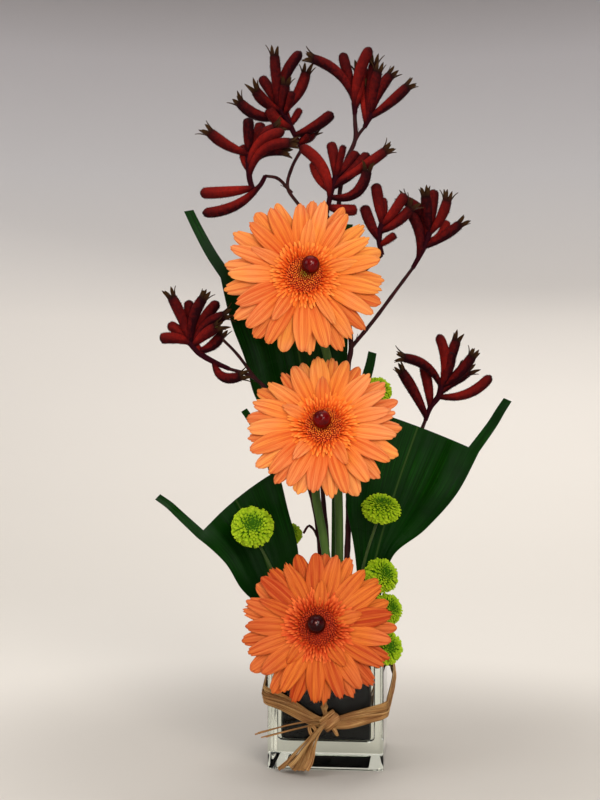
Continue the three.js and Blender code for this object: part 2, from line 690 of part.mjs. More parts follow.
/** The green cup behind the petals, with the stem that runs on from it down into the foam. */
function gerberaStemParts(flower) {
  const top = BLOOM.coreBase - GAP;
  const cup = new THREE.LatheGeometry(
    [
      [0, top - BLOOM.cupDepth],
      [BLOOM.stem * 1.15, top - BLOOM.cupDepth],
      [BLOOM.cup * 0.8, top - 3.5],
      [BLOOM.cup, top],
      [0, top],
    ].map(([r, z]) => new THREE.Vector2(r, z)),
    10,
  )
    .rotateX(Math.PI / 2)
    .applyMatrix4(bloomMatrix(flower));
  const neck = (z) => new THREE.Vector3(0, 0, z).applyMatrix4(bloomMatrix(flower)).toArray();
  const foot = flower.stem.at(-1);
  const path = [neck(top - 6), neck(top - 14), ...flower.stem, [foot[0], foot[1], FOAM.stemEnd]];
  return { cup, path };
}

// Leaves

/** The blade as a grid of points: rows from base to cut and on to the ribbons' ends, columns across. */
function bladeGrid({ left, rib, right, leftRibbon, rightRibbon }) {
  const curve = (points) => new THREE.CatmullRomCurve3(points.map(vector), false, "centripetal");
  const [leftEdge, midrib, rightEdge] = [left, rib, right].map(curve);
  const columns = [-1, BLADE.margin - 1, -0.42, 0, 0.42, 1 - BLADE.margin, 1];
  const bodyRows = 9;
  const ribbonRows = 4;
  const across = (t, w) =>
    new THREE.Vector3()
      .addScaledVector(leftEdge.getPointAt(t), (w * w - w) / 2)
      .addScaledVector(midrib.getPointAt(t), 1 - w * w)
      .addScaledVector(rightEdge.getPointAt(t), (w * w + w) / 2);
  const rows = Array.from({ length: bodyRows + 1 }, (_, i) => columns.map((w) => across(i / bodyRows, w)));
  const cut = rows[bodyRows];
  const ribbons = [
    { path: [left.at(-1), ...leftRibbon], inward: cut[1].clone().sub(cut[0]), outer: 0, inner: 1 },
    { path: [right.at(-1), ...rightRibbon], inward: cut[5].clone().sub(cut[6]), outer: 6, inner: 5 },
  ];
  for (let i = 1; i <= ribbonRows; i++) {
    const row = columns.map(() => null);
    for (const { path, inward, outer, inner } of ribbons) {
      row[outer] = curve(path).getPointAt(i / ribbonRows);
      row[inner] = row[outer].clone().addScaledVector(inward, 1 - (BLADE.ribbonTaper * i) / ribbonRows);
    }
    rows.push(row);
  }
  return rows;
}

/** A grid of points, with gaps where a point is missing, as a sheet of even depth from front to back. */
function sheet(rows, thickness) {
  const points = [];
  const index = rows.map((row) =>
    row.map((point) => {
      if (!point) return -1;
      points.push(point, point.clone().add(new THREE.Vector3(0, thickness, 0)));
      return points.length - 2;
    }),
  );
  const filled = (i, j) => {
    const corners = [index[i]?.[j], index[i]?.[j + 1], index[i + 1]?.[j], index[i + 1]?.[j + 1]];
    return corners.every((corner) => corner >= 0);
  };
  const faces = [];
  const wall = (a, b) => faces.push(a, b + 1, b, a, a + 1, b + 1);
  for (let i = 0; i + 1 < rows.length; i++)
    for (let j = 0; j + 1 < rows[i].length; j++) {
      if (!filled(i, j)) continue;
      const [a, b, c, d] = [index[i][j], index[i][j + 1], index[i + 1][j + 1], index[i + 1][j]];
      faces.push(a, b, c, a, c, d, a + 1, c + 1, b + 1, a + 1, d + 1, c + 1);
      if (!filled(i - 1, j)) wall(a, b);
      if (!filled(i, j + 1)) wall(b, c);
      if (!filled(i + 1, j)) wall(c, d);
      if (!filled(i, j - 1)) wall(d, a);
    }
  return new THREE.BufferGeometry().setFromPoints(points).setIndex(faces);
}

function leafStalkPath({ stalk: points }) {
  const [x, y] = points.at(-1);
  return [...points, [x, y, FOAM.stemEnd]];
}

// Button chrysanthemums

function buttonGeometry({ at, radius, depth, face }) {
  const profile = Array.from({ length: BUTTON.rings + 1 }, (_, i) => {
    const angle = (Math.PI * i) / BUTTON.rings;
    const dimple = i === BUTTON.rings ? BUTTON.dimple * radius * depth : 0;
    return [radius * Math.sin(angle), -radius * depth * Math.cos(angle) - dimple, BUTTON.stud * radius];
  });
  const look = vector(face).normalize();
  const turn = new THREE.Quaternion().setFromUnitVectors(new THREE.Vector3(0, 0, 1), look);
  return studded(profile, BUTTON.segments)
    .applyQuaternion(turn)
    .translate(...at);
}

// Kangaroo paws

/** One furry flower: a bowed tube that swells towards its tip, spread into points where it is open. */
function pawFlower(start, tip, bow, kind) {
  const chord = tip.clone().sub(start);
  const side = new THREE.Vector3(chord.z, 0, -chord.x).normalize();
  const middle = start.clone().add(tip).multiplyScalar(0.5).addScaledVector(side, 2 * bow);
  const curve = new THREE.QuadraticBezierCurve3(start, middle, tip);
  const shares = kind === OPEN ? PAW.open : PAW.shut;
  const radii = shares.map((share) => share * PAW.thickness[kind]);
  const rings = ringsAlong(curve, PAW.stations, radii, PAW.sides);
  if (kind !== OPEN) return loft(rings);
  const { reach, forward, throat } = PAW.lobes;
  const out = curve.getTangentAt(1);
  const mouth = rings.at(-1);
  const points = mouth.map((point) => {
    const spread = point.clone().sub(tip).setLength(reach);
    return tip.clone().add(spread).addScaledVector(out, forward);
  });
  return loft([...rings, points], tip.clone().addScaledVector(out, throat));
}

function pawHeadSolid({ root, axis, flowers }, room) {
  const base = vector(root);
  const points = [base, ...axis.map((offset) => base.clone().add(vector(offset)))];
  const line = new THREE.CatmullRomCurve3(points, false, "centripetal");
  const shares = [0, 0.5, 1];
  const radii = shares.map((share) => THREE.MathUtils.lerp(...PAW.axisRadii, share));
  const rachis = loft(ringsAlong(line, shares, radii, PAW.sides));
  const parts = flowers.map(([along, right, back, up, bow, kind]) =>
    pawFlower(line.getPointAt(along), base.clone().add(vector([right, back, up])), bow, kind),
  );
  return mainBody(fused([rachis, ...parts]).subtract(room));
}

// The whole arrangement

const arrangement = new THREE.Group();
const holes = [];

const vaseGroup = new THREE.Group();
vaseGroup.rotation.z = radians(VASE.turn);
vaseGroup.add(
  piece("glass_vase", geometryOf(vaseSolid()), "glass"),
  piece("liner", geometryOf(linerSolid()), "liner"),
  piece("raffia_tie", geometryOf(fused(tieGeometries())), "raffia"),
);
arrangement.add(vaseGroup);

for (const flower of GERBERAS) {
  const bloom = new THREE.Group();
  bloom.applyMatrix4(bloomMatrix(flower));
  bloom.add(
    piece(flower.name + "_petals", geometryOf(petalsSolid(flower)), "petal"),
    piece(flower.name + "_disc", geometryOf(discSolid(flower.berry)), "disc"),
    piece(flower.name + "_berry", berryGeometry(flower.berry, BLOOM.berry), "berry"),
  );
  arrangement.add(bloom);
  const { cup, path } = gerberaStemParts(flower);
  const radii = [BLOOM.stem, BLOOM.stem];
  const stem = fused([cup, stalk(path, radii, 7)]);
  arrangement.add(piece(flower.name + "_stem", geometryOf(stem), "greenStem"));
  holes.push(solidOf(stalk(path, radii, 7, GAP)));
}

for (const leaf of LEAVES) {
  const blade = sheet(bladeGrid(leaf), BLADE.thickness);
  const path = leafStalkPath(leaf);
  const radii = [BLADE.stalk, BLADE.stalk];
  const solid = fused([blade, stalk(path, radii, 5)]);
  arrangement.add(piece(leaf.name, geometryOf(solid), "leaf"));
  holes.push(solidOf(stalk(path, radii, 5, GAP)));
}

BUTTONS.forEach((button, i) => {
  const name = "button_" + (i + 1);
  const foot = button.stem.at(-1);
  const path = [...button.stem, [foot[0], foot[1], FOAM.stemEnd]];
  const radii = [BUTTON.stem, BUTTON.stem];
  const room = solidOf(stalk(path, radii, 5, GAP));
  arrangement.add(
    piece(name + "_head", geometryOf(solidOf(buttonGeometry(button)).subtract(room)), "button"),
    piece(name + "_stem", stalk(path, radii, 5), "greenStem"),
  );
  holes.push(room);
});

const pawRooms = [];
for (const { name, branches } of PAW_STEMS) {
  const stems = branches.map(({ radii, path }) => stalk(path, radii, 5));
  const rooms = branches.map(({ radii, path }) => solidOf(stalk(path, radii, 5, GAP)));
  arrangement.add(piece(name, geometryOf(fused(stems)), "pawStem"));
  holes.push(rooms[0]);
  pawRooms.push(...rooms);
}
const pawRoom = wasm.Manifold.union(pawRooms);
for (const head of PAW_HEADS) {
  arrangement.add(piece(head.name, geometryOf(pawHeadSolid(head, pawRoom)), "pawFlower"));
}

arrangement.add(piece("flower_foam", geometryOf(foamSolid(holes)), "foam"));

export default arrangement;
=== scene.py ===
# %% [markdown]
# # Gerberas in a glass cube vase
#
# A florist's arrangement in Blender: three gerberas one above another, kangaroo paws, three cut leaves
# and green button chrysanthemums, held in foam in a thick glass cube that is tied with raffia.
# A measured model of the same thing comes first, and each finer piece takes the place of one of its
# solids. Lengths below are in millimetres, as on the model, and turn into metres when a mesh is made.

# %% Load the measured model
import math

import bpy
import numpy as np
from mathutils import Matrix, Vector


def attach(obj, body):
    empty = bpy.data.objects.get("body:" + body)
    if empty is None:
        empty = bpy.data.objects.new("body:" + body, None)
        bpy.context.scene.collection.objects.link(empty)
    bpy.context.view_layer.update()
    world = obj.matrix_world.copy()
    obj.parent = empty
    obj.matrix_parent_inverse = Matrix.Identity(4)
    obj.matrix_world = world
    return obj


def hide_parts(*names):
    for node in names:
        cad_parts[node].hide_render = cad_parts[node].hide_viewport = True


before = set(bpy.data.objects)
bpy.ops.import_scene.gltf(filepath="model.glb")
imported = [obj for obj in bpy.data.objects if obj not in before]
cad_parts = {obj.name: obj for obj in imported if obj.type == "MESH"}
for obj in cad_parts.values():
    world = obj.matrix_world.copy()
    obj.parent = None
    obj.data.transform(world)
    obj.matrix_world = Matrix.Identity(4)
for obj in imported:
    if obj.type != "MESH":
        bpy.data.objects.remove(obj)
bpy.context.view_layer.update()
MM = 0.001
RIGHT, BACK, UP = np.eye(3)  # as the camera sees them

# %% [markdown]
# ## Curves through chosen points
#
# Stems, leaf edges and raffia all run through listed points. Blender's curve objects could do that, but
# here the points are wanted as numbers, so that leaves and hairs can be placed on them. A Catmull-Rom
# curve passes through every point, and its centripetal kind never loops at a sharp bend.

# %% Curve helpers
def unit(vectors):
    """The vectors divided by their own lengths."""
    return vectors / np.maximum(np.linalg.norm(vectors, axis=-1, keepdims=True), 1e-12)


def cubic(t, here, there, leave, arrive):
    """From here to there as t goes from 0 to 1, with a slope to leave by and a slope to arrive by."""
    line = here * (2 * t**3 - 3 * t**2 + 1) + leave * (t**3 - 2 * t**2 + t)
    return line + there * (3 * t**2 - 2 * t**3) + arrive * (t**3 - t**2)


def length_gone(points):
    """How far along the line through the points each of them lies."""
    return np.concatenate([[0], np.cumsum(np.linalg.norm(np.diff(points, axis=0), axis=1))])


def smooth_path(points, count):
    """Points at even steps along a centripetal Catmull-Rom curve.

    Each stretch is a cubic between two given points. Its slope at a point is made from the chords on
    both sides, and each chord counts by the square root of its length.
    """
    given = np.asarray(points, float)
    given = np.vstack([2 * given[0] - given[1], given, 2 * given[-1] - given[-2]])
    step = np.linalg.norm(np.diff(given, axis=0), axis=1)[:, None] ** 0.5
    before, here, there, after = given[:-3], given[1:-2], given[2:-1], given[3:]
    a, b, c = step[:-2], step[1:-1], step[2:]
    leave = b * ((here - before) / a - (there - before) / (a + b)) + there - here
    arrive = b * ((after - there) / c - (after - here) / (b + c)) + there - here
    line = cubic(np.linspace(0, 1, 25)[:, None, None], here, there, leave, arrive)
    line = line.transpose(1, 0, 2).reshape(-1, 3)
    gone = length_gone(line)
    at = np.linspace(0, gone[-1], count)
    return np.stack([np.interp(at, gone, values) for values in line.T], axis=1)


def smooth_values(at, places, values):
    """A smooth line through the values: a cubic between each two places, with the mean slope at each."""
    places = np.asarray(places, float)
    values = np.asarray(values, float)
    slopes = np.gradient(values, places)
    i = np.clip(np.searchsorted(places, at, side="right") - 1, 0, len(places) - 2)
    span = (places[1:] - places[:-1])[i]
    t = np.clip((at - places[i]) / span, 0, 1)
    return cubic(t, values[i], values[i + 1], span * slopes[i], span * slopes[i + 1])


def bell(value, middle, width):
    """One at the middle, fading to both sides: e to the power of minus the square of the distance."""
    return np.exp(-(((value - middle) / width) ** 2))


def axes_of(look):
    """Axes of what looks a given way, as rows: right as seen from its front, its upper side, that way."""
    right = unit(np.cross(UP, look))
    return np.array([right, np.cross(look, right), look])


def turned_round(turn):
    """A matrix that turns a row vector about the upright axis, by an angle in degrees."""
    c = math.cos(math.radians(turn))
    s = math.sin(math.radians(turn))
    return np.array([[c, s, 0], [-s, c, 0], [0, 0, 1]])


print("a bent path:", smooth_path([[0, 0, 0], [10, 0, 0], [10, 10, 0]], 3).round(1).tolist())

# %% [markdown]
# ## One way to build every surface
#
# Petals, florets, stems and strips of raffia are all tubes: a ring of points carried along a path. A
# petal is a tube squeezed flat. So a whole ring of petals is one array of copies, rows and ring
# points, and one rule joins the points with faces. Modelling by hand would give one good petal, and
# arrays give over a hundred that all differ.

# %% Carry a section along a path
TURNED = 40  # sides of most turned shapes


def sweep(path, side, section):
    """Carries flat sections along a path.

    At each row the way the path goes is the step between its neighbours, and side is made square to
    it. Section gives, for each ring point, how far it lies along side and along the third direction.
    """
    way = unit(np.gradient(path, axis=-2))
    side = unit(side - np.sum(side * way, axis=-1, keepdims=True) * way)
    third = np.cross(way, side)
    across, up = section[..., 0, None], section[..., 1, None]
    return path[..., None, :] + side[..., None, :] * across + third[..., None, :] * up


def ring_angles(sides):
    """The angles of the points round a section, of which the first is half a step past its side."""
    return 2 * math.pi * (np.arange(sides) + 0.5) / sides


def spokes(angles):
    """The ways outwards at the given angles about the third axis."""
    return np.stack([np.cos(angles), np.sin(angles), 0 * angles], axis=-1)


def round_section(radii, sides, ribs=0, depth=0.0):
    """Rings of a round section, whose radius swells and shrinks by a share as often as it has ribs."""
    angle = ring_angles(sides)
    radius = np.asarray(radii, float)[..., None] * (1 + depth * np.cos(ribs * angle))
    return np.stack([radius * np.cos(angle), radius * np.sin(angle)], axis=-1)


def strap_section(half, thick, sides, arch=0.0):
    """Rings of a flat section: the half width times the cosine of the angle round it, and the half
    thickness times its sine, arched by a share of the half width times the square of the sine."""
    angle = ring_angles(sides)
    half = np.asarray(half, float)[..., None]
    up = thick * np.sin(angle) + arch * half * np.sin(angle) ** 2
    return np.stack(np.broadcast_arrays(half * np.cos(angle), up), axis=-1)


def turned(profile, sides=TURNED):
    """A profile of radius and height turned about the third axis."""
    angle = ring_angles(sides)
    radius, height = np.asarray(profile, float).T[..., None]
    return np.stack([radius * np.cos(angle), radius * np.sin(angle), height + 0 * angle], axis=-1)


# %% Gather tubes and sheets into one mesh
class Skin:
    """Gathers tubes and sheets into one mesh, with the marks that the finish reads at each point."""

    def __init__(self):
        self.points = []
        self.faces = []
        self.marks = []
        self.count = 0

    def keep(self, points, faces, marks):
        """Stores copies x points and their common faces, each copy turned so that it faces outwards.

        A copy's volume is the sum over its faces of the box spanned by three corners, seen from its
        own centre: where that is negative, the corners of its faces are read backwards.
        """
        copies, each = points.shape[:2]
        local = points - points.mean(axis=1, keepdims=True)
        corner = [local[:, faces[:, k]] for k in range(faces.shape[1])]
        volume = np.einsum("nfk,nfk->n", corner[0], np.cross(corner[1], corner[2]))
        if faces.shape[1] == 4:
            volume = volume + np.einsum("nfk,nfk->n", corner[0], np.cross(corner[2], corner[3]))
        start = self.count + each * np.arange(copies)
        placed = faces[None] + start[:, None, None]
        placed[volume < 0] = placed[volume < 0][:, :, ::-1]
        self.points.append(points.reshape(-1, 3))
        self.faces.append(placed.reshape(-1, faces.shape[1]))
        spread = {key: np.broadcast_to(value, (copies, each)).ravel() for key, value in marks.items()}
        self.marks.append(spread)
        self.count += copies * each

    def tubes(self, grid, closed=False, **marks):
        """Adds tubes given as copies x rows x ring points, capped, or joined end to end where closed.

        Four neighbours make a face. A cap is a ladder of faces between the two halves of its ring.
        Each mark is a number for every copy, row and ring point, or anything that spreads to that.
        """
        grid = grid if grid.ndim == 4 else grid[None]
        copies, rows, ring = grid.shape[:3]
        number = np.arange(rows * ring).reshape(rows, ring)
        wall = np.vstack([number, number[:1]]) if closed else number
        beside = np.roll(wall, -1, axis=1)
        faces = [np.stack([wall[:-1], beside[:-1], beside[1:], wall[1:]], axis=-1).reshape(-1, 4)]
        if not closed:
            j = np.arange(ring // 2 - 1)
            rungs = np.stack([j, j + 1, ring - 2 - j, ring - 1 - j], axis=-1)
            faces += [rungs[:, ::-1], rungs + number[-1, 0]]
        spread = {
            key: np.broadcast_to(value, (copies, rows, ring)).reshape(copies, -1)
            for key, value in marks.items()
        }
        self.keep(grid.reshape(copies, -1, 3), np.vstack(faces), spread)

    def spikes(self, root, out, along, width, **marks):
        """Adds fine hairs: a three-sided point on each root, which leans the way that out says."""
        lean = unit(np.cross(out, along)) * width
        forward = unit(along) * width
        corners = [root + lean, root - 0.5 * lean + 0.8 * forward, root - 0.5 * lean - 0.8 * forward]
        points = np.stack([*corners, root + out], axis=1)
        faces = np.array([[0, 1, 2], [1, 0, 3], [2, 1, 3], [0, 2, 3]])
        self.keep(points, faces, {key: np.reshape(value, (-1, 1)) for key, value in marks.items()})

    def sheet(self, front, back, filled, **marks):
        """Adds a sheet with a front and a back grid, faces only where a cell is filled, and its rim.

        A cell's side gets a wall where the cell beyond it is empty.
        """
        rows, columns = front.shape[:2]
        number = np.arange(rows * columns).reshape(rows, columns)
        under = rows * columns
        a, b, c, d = number[:-1, :-1], number[:-1, 1:], number[1:, 1:], number[1:, :-1]
        empty = ~np.pad(filled, 1)
        faces = [np.stack([a, b, c, d], axis=-1)[filled], np.stack([d, c, b, a], axis=-1)[filled] + under]
        borders = [
            (a, b, empty[:-2, 1:-1]),
            (b, c, empty[1:-1, 2:]),
            (c, d, empty[2:, 1:-1]),
            (d, a, empty[1:-1, :-2]),
        ]
        for first, second, beyond in borders:
            edge = filled & beyond
            one, two = first[edge], second[edge]
            faces.append(np.stack([two, one, one + under, two + under], axis=-1))
        used, faces = np.unique(np.vstack(faces), return_inverse=True)
        points = np.vstack([front.reshape(-1, 3), back.reshape(-1, 3)])[used]
        spread = {}
        for key, value in marks.items():
            plane = np.broadcast_to(value, (rows, columns)).ravel()
            spread[key] = np.concatenate([plane, plane])[used][None]
        self.keep(points[None], faces.reshape(-1, 4), spread)

    def piece(self, name, finish, nodes, sharp=None):
        """Makes the Blender object, in metres and in place, and lets it stand for the model's solids."""
        mesh = bpy.data.meshes.new(name)
        corners = np.concatenate([faces.ravel() for faces in self.faces])
        sizes = np.concatenate([np.full(len(faces), faces.shape[1]) for faces in self.faces])
        mesh.vertices.add(self.count)
        mesh.vertices.foreach_set("co", (np.vstack(self.points) * MM).ravel())
        mesh.loops.add(len(corners))
        mesh.loops.foreach_set("vertex_index", corners)
        mesh.polygons.add(len(sizes))
        mesh.polygons.foreach_set("loop_start", np.cumsum(sizes) - sizes)
        mesh.update(calc_edges=True)
        for key in sorted({key for marks in self.marks for key in marks}):
            values = [
                marks.get(key, np.zeros(len(points))) for marks, points in zip(self.marks, self.points)
            ]
            mesh.attributes.new(key, "FLOAT", "POINT").data.foreach_set("value", np.concatenate(values))
        mesh.shade_smooth()
        if sharp is not None:
            mesh.set_sharp_from_angle(angle=math.radians(sharp))
        mesh.validate()
        made = bpy.data.objects.new(name, mesh)
        bpy.context.scene.collection.objects.link(made)
        mesh.materials.append(finish.material)
        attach(made, "root")
        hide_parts(*nodes)
        print(name, "has", int((sizes - 2).sum()), "triangles")


print("turned shapes have", TURNED, "sides")

# %% [markdown]
# ## Shader maths as plain expressions
#
# A finish is a network of nodes, and dragging links for every sum is slow to read. The small class
# below wraps a node's socket, so that `0.5 - 0.2 * grain` adds the Math nodes by itself. Everything
# else, such as noise or a ramp of colours, comes from one method.

# %% Sockets that can be added and multiplied
def tone(red, green, blue):
    """A colour as a screen shows it, 0 to 255, as the linear light that Blender mixes."""
    shares = np.array([red, green, blue]) / 255
    linear = np.where(shares < 0.04045, shares / 12.92, ((shares + 0.055) / 1.055) ** 2.4)
    return (*linear.tolist(), 1.0)


class Socket:
    """A number that changes over a surface, on which + - * and abs add Math nodes."""

    def __init__(self, finish, socket):
        self.finish = finish
        self.socket = socket

    def sum(self, operation, first, second=0.0):
        """One Math node on two numbers, either of which may change over the surface."""
        return self.finish.node("Math", {"operation": operation}, {0: first, 1: second})

    def __add__(self, other):
        return self.sum("ADD", self, other)

    def __sub__(self, other):
        return self.sum("SUBTRACT", self, other)

    def __rsub__(self, other):
        return self.sum("SUBTRACT", other, self)

    def __mul__(self, other):
        return self.sum("MULTIPLY", self, other)

    def __abs__(self):
        return self.sum("ABSOLUTE", self)

    __radd__ = __add__
    __rmul__ = __mul__

    def at_most(self, limit):
        """The number, or the limit where the number is above it."""
        return self.sum("MINIMUM", self, limit)

    def between(self, low, high):
        """Nought below the low value, one above the high one, and a soft slope from one to the other."""
        settings = {"interpolation_type": "SMOOTHSTEP"}
        return self.finish.node("MapRange", settings, {0: self, 1: low, 2: high, 3: 0.0, 4: 1.0})

    def ramp(self, *stops):
        """A colour for the number, from stops of place and colour."""
        return self.finish.node("ValToRGB", {"stops": stops}, {0: self})

    def mix(self, low, high):
        """The low colour at nought and the high one at one."""
        return self.finish.node("Mix", {"data_type": "RGBA"}, {0: self, 6: low, 7: high}, output=2)


class Finish:
    """A material whose shader is Principled, with constants set on it and a few sockets linked."""

    def __init__(self, name, **constants):
        self.material = bpy.data.materials.new(name)
        self.material.use_nodes = True
        self.tree = self.material.node_tree
        self.shader = self.tree.nodes["Principled BSDF"]
        for key, value in constants.items():
            self.shader.inputs[key.replace("_", " ")].default_value = value

    def node(self, kind, settings, inputs, output=0):
        """Adds a node: its settings first, then a value or a link for each named or numbered input."""
        made = self.tree.nodes.new("ShaderNode" + kind)
        for key, value in settings.items():
            if key == "stops":
                for i, (place, colour) in enumerate(value):
                    stop = made.color_ramp.elements[i] if i < 2 else made.color_ramp.elements.new(1)
                    stop.position = place
                    stop.color = colour
            else:
                setattr(made, key, value)
        for key, value in inputs.items():
            if isinstance(value, Socket):
                self.tree.links.new(value.socket, made.inputs[key])
            else:
                made.inputs[key].default_value = value
        return Socket(self, made.outputs[output])

    def mark(self, name):
        """A mark that was stored at the mesh's points."""
        return self.node("Attribute", {"attribute_name": name}, {}, output=2)

    def place(self, x=1.0, y=1.0, z=1.0):
        """Places in the object, stretched along its axes."""
        where = self.node("TexCoord", {}, {}, output=3)
        return self.node("Mapping", {}, {"Vector": where, "Scale": (x, y, z)})

    def join(self, x, y, z):
        """Three numbers as one place for a texture."""
        return self.node("CombineXYZ", {}, {0: x, 1: y, 2: z})

    def noise(self, where, scale, detail=3.0):
        """Cloudy noise between about 0.3 and 0.7."""
        return self.node("TexNoise", {}, {"Vector": where, "Scale": scale, "Detail": detail})

    def cells(self, where, scale):
        """The distance to the nearest of many scattered points."""
        return self.node("TexVoronoi", {}, {"Vector": where, "Scale": scale})

    def paint(self, **links):
        """Links sockets of the shader by name."""
        for key, value in links.items():
            self.tree.links.new(value.socket, self.shader.inputs[key.replace("_", " ")])

    def bump(self, height, depth):
        """Raises the surface by a height between 0 and 1, whose full depth is in millimetres."""
        self.paint(Normal=self.node("Bump", {}, {"Height": height, "Distance": depth * MM}))


print("mid grey is", tone(128, 128, 128)[0])

# %% [markdown]
# ## Camera, floor and light
#
# The camera looks level along +Y from about the height of the middle flower, which is how the
# arrangement was seen. Its focal length comes from the picture: 1 mm at the vase spans 1.4 pixels, from
# a metre off. The floor is one wide bowl, because it then gives a plain pale ground from every side. Round
# the vase its paper is painted a little darker, as painted shade where the real ground lay in the shade of
# the flowers, and up the wall it carries a painted light falloff, brightest about 0.44 m up and greyer
# below and above that. Large area lights make soft shadows, and none of them shows itself.

# %% Camera
PICTURE_HEIGHT = 800
PIXELS_PER_MM = 1.4
CAMERA = [-21, -1000, 254]
SENSOR = 36

scene = bpy.context.scene
lens = bpy.data.cameras.new("camera")
lens.sensor_width = SENSOR
lens.lens = -CAMERA[1] * PIXELS_PER_MM * SENSOR / PICTURE_HEIGHT
camera = bpy.data.objects.new("camera", lens)
camera.location = [c * MM for c in CAMERA]
camera.rotation_euler = (math.pi / 2, 0, 0)
scene.collection.objects.link(camera)
scene.camera = camera
scene.view_settings.view_transform = "Standard"
print("lens", round(lens.lens, 1), "mm")

# %% Pale floor that rises all round
BOWL = {"flat": 900, "bend": 2300, "wall": 500, "sides": 96}
SHADE = (0.14, 0.42)  # metres from the vase between which the paper turns from grey to pale


def bowl_points():
    """A profile turned about the upright axis: flat, then a quarter circle, then an upright wall."""
    bend = np.linspace(0, math.pi / 2, 13)[1:]
    flat = BOWL["flat"] * np.array([0.001, 0.25, 0.5, 1.0])
    reach = np.concatenate([flat, BOWL["flat"] + BOWL["bend"] * np.sin(bend)])
    height = np.concatenate([0 * flat, BOWL["bend"] * (1 - np.cos(bend))])
    reach = np.append(reach, reach[-1])
    height = np.append(height, height[-1] + BOWL["wall"])
    return turned(np.stack([reach, height], axis=-1), BOWL["sides"])


paper = Finish("pale_paper", Roughness=0.9, Specular_IOR_Level=0.1)
height = paper.node("SeparateXYZ", {}, {0: paper.place(1, 1, 0.5)}, output=2)
near, middle, high = tone(230, 223, 212), tone(252, 245, 235), tone(237, 233, 230)
upper, top = tone(217, 212, 211), tone(170, 164, 162)
# Painted light falloff: by height the paper is painted brightest about 0.44 m up, greyer on the floor and
# towards the top of the wall.
beyond = height.ramp((0.0, near), (0.22, middle), (0.42, high), (0.6, upper), (0.75, top))
reach = paper.node("VectorMath", {"operation": "LENGTH"}, {0: paper.place(1, 1, 0)}, output=1)
# Painted shade: near the vase the paper is painted grey, fading to the paler paper between the two SHADE
# distances.
paper.paint(Base_Color=reach.between(*SHADE).mix(tone(197, 190, 180), beyond))

points = bowl_points()
rows, sides = points.shape[:2]
number = np.arange(rows * sides).reshape(rows, sides)
beside = np.roll(number, -1, axis=1)
faces = np.stack([number[:-1], number[1:], beside[1:], beside[:-1]], axis=-1).reshape(-1, 4)
ground = bpy.data.meshes.new("floor")
ground.from_pydata((points * MM).reshape(-1, 3).tolist(), [], [number[0].tolist(), *faces.tolist()])
ground.shade_smooth()
ground.materials.append(paper.material)
floor = bpy.data.objects.new("floor", ground)
scene.collection.objects.link(floor)
print("floor", len(ground.polygons), "faces")

# %% Soft light
# Each lamp: where it stands, the side of its square in millimetres, its power in watts, how wide it
# shines in degrees, and its colour
LAMPS = {
    "key": ([650, -2050, 1200], 850, 10, 110, (1.0, 0.97, 0.93)),
    "front": ([80, -1500, 340], 280, 3, 180, (1.0, 1.0, 1.0)),
    "fill": ([-1100, -750, 900], 800, 2.3, 110, (0.93, 0.96, 1.0)),
    "back": ([400, 1500, 1500], 1300, 13, 180, (1.0, 0.98, 0.96)),
    "over": ([0, 0, 2200], 1600, 12, 180, (1.0, 1.0, 1.0)),
}
AIM = [0, 0, 240]
SKY = {"Color": tone(236, 238, 245), "Strength": 0.55}

for name, (place, size, power, spread, colour) in LAMPS.items():
    lamp = bpy.data.lights.new(name, "AREA")
    lamp.size = size * MM
    lamp.energy = power
    lamp.spread = math.radians(spread)
    lamp.color = colour
    stand = bpy.data.objects.new(name, lamp)
    stand.location = [c * MM for c in place]
    towards = Vector(AIM) - Vector(place)
    stand.rotation_euler = towards.to_track_quat("-Z", "Y").to_euler()
    stand.visible_camera = False
    scene.collection.objects.link(stand)

sky = bpy.data.worlds.new("room")
sky.use_nodes = True
for key, value in SKY.items():
    sky.node_tree.nodes["Background"].inputs[key].default_value = value
scene.world = sky
print(len(LAMPS), "lamps")

# %% [markdown]
# ## Gerbera petals
#
# A gerbera's ray is a strap: narrow at the root, widest past its middle, with two grooves along it and
# three small teeth at the tip. It could be modelled once and copied with an array modifier, but real
# rays differ in length, droop, twist and bend. Here every copy draws its own. The two main layers stand
# exactly where the model has its petals, with the same draws, and a few short rays stand before them.

# %% The flowers as they stand
# Where the disc sits, how far it looks up and to the right, its reach, its berry, its seed, how red and
# how ragged its petals are, and its stem
GERBERAS = {
    "top": {
        "at": [-18, -34, 340], "up": 13, "aside": 5, "reach": 57, "berry": [3.5, 4.5], "seed": 11,
        "red": 0.12, "ragged": 0.5,
        "stem": [[-16, -10, 321], [-2, -2, 287], [4, -2, 230], [6.5, -2, 183], [7, -1, 120], [7, -1, 82]],
    },
    "middle": {
        "at": [-5, -48, 236], "up": 27, "aside": -2, "reach": 54, "berry": [-1, 0.5], "seed": 23,
        "red": 0.0, "ragged": 0.35,
        "stem": [[-7, -26, 217], [-10, -15, 190], [-5, -13, 160], [-1, -12, 130], [1, -11, 82]],
    },
    "low": {
        "at": [-9, -70, 103], "up": 16, "aside": -2, "reach": 52, "berry": [-1, 1], "seed": 37,
        "red": 1.0, "ragged": 1.0,
        "stem": [[-8.5, -46, 96], [-8, -34, 90], [-7.5, -24, 80], [-7, -18, 68]],
    },
}
# Each layer: count, share of the reach, width, rise, droop, lift, start in steps, share of change
LAYERS = {
    "lower": (17, 1.0, 13.6, 2.4, 3.4, -1.75, 0.0, 0.035),
    "upper": (17, 0.955, 12.6, 4.0, 2.0, -0.1, 0.5, 0.035),
    "front": (5, 0.72, 9.5, 4.2, 0.4, 1.0, 0.2, 0.2),
}
# Places along a petal, and the share of its width there
PETAL_WIDTHS = ([0, 0.3, 0.62, 0.86, 1], [0.36, 0.78, 1, 0.92, 0.7])
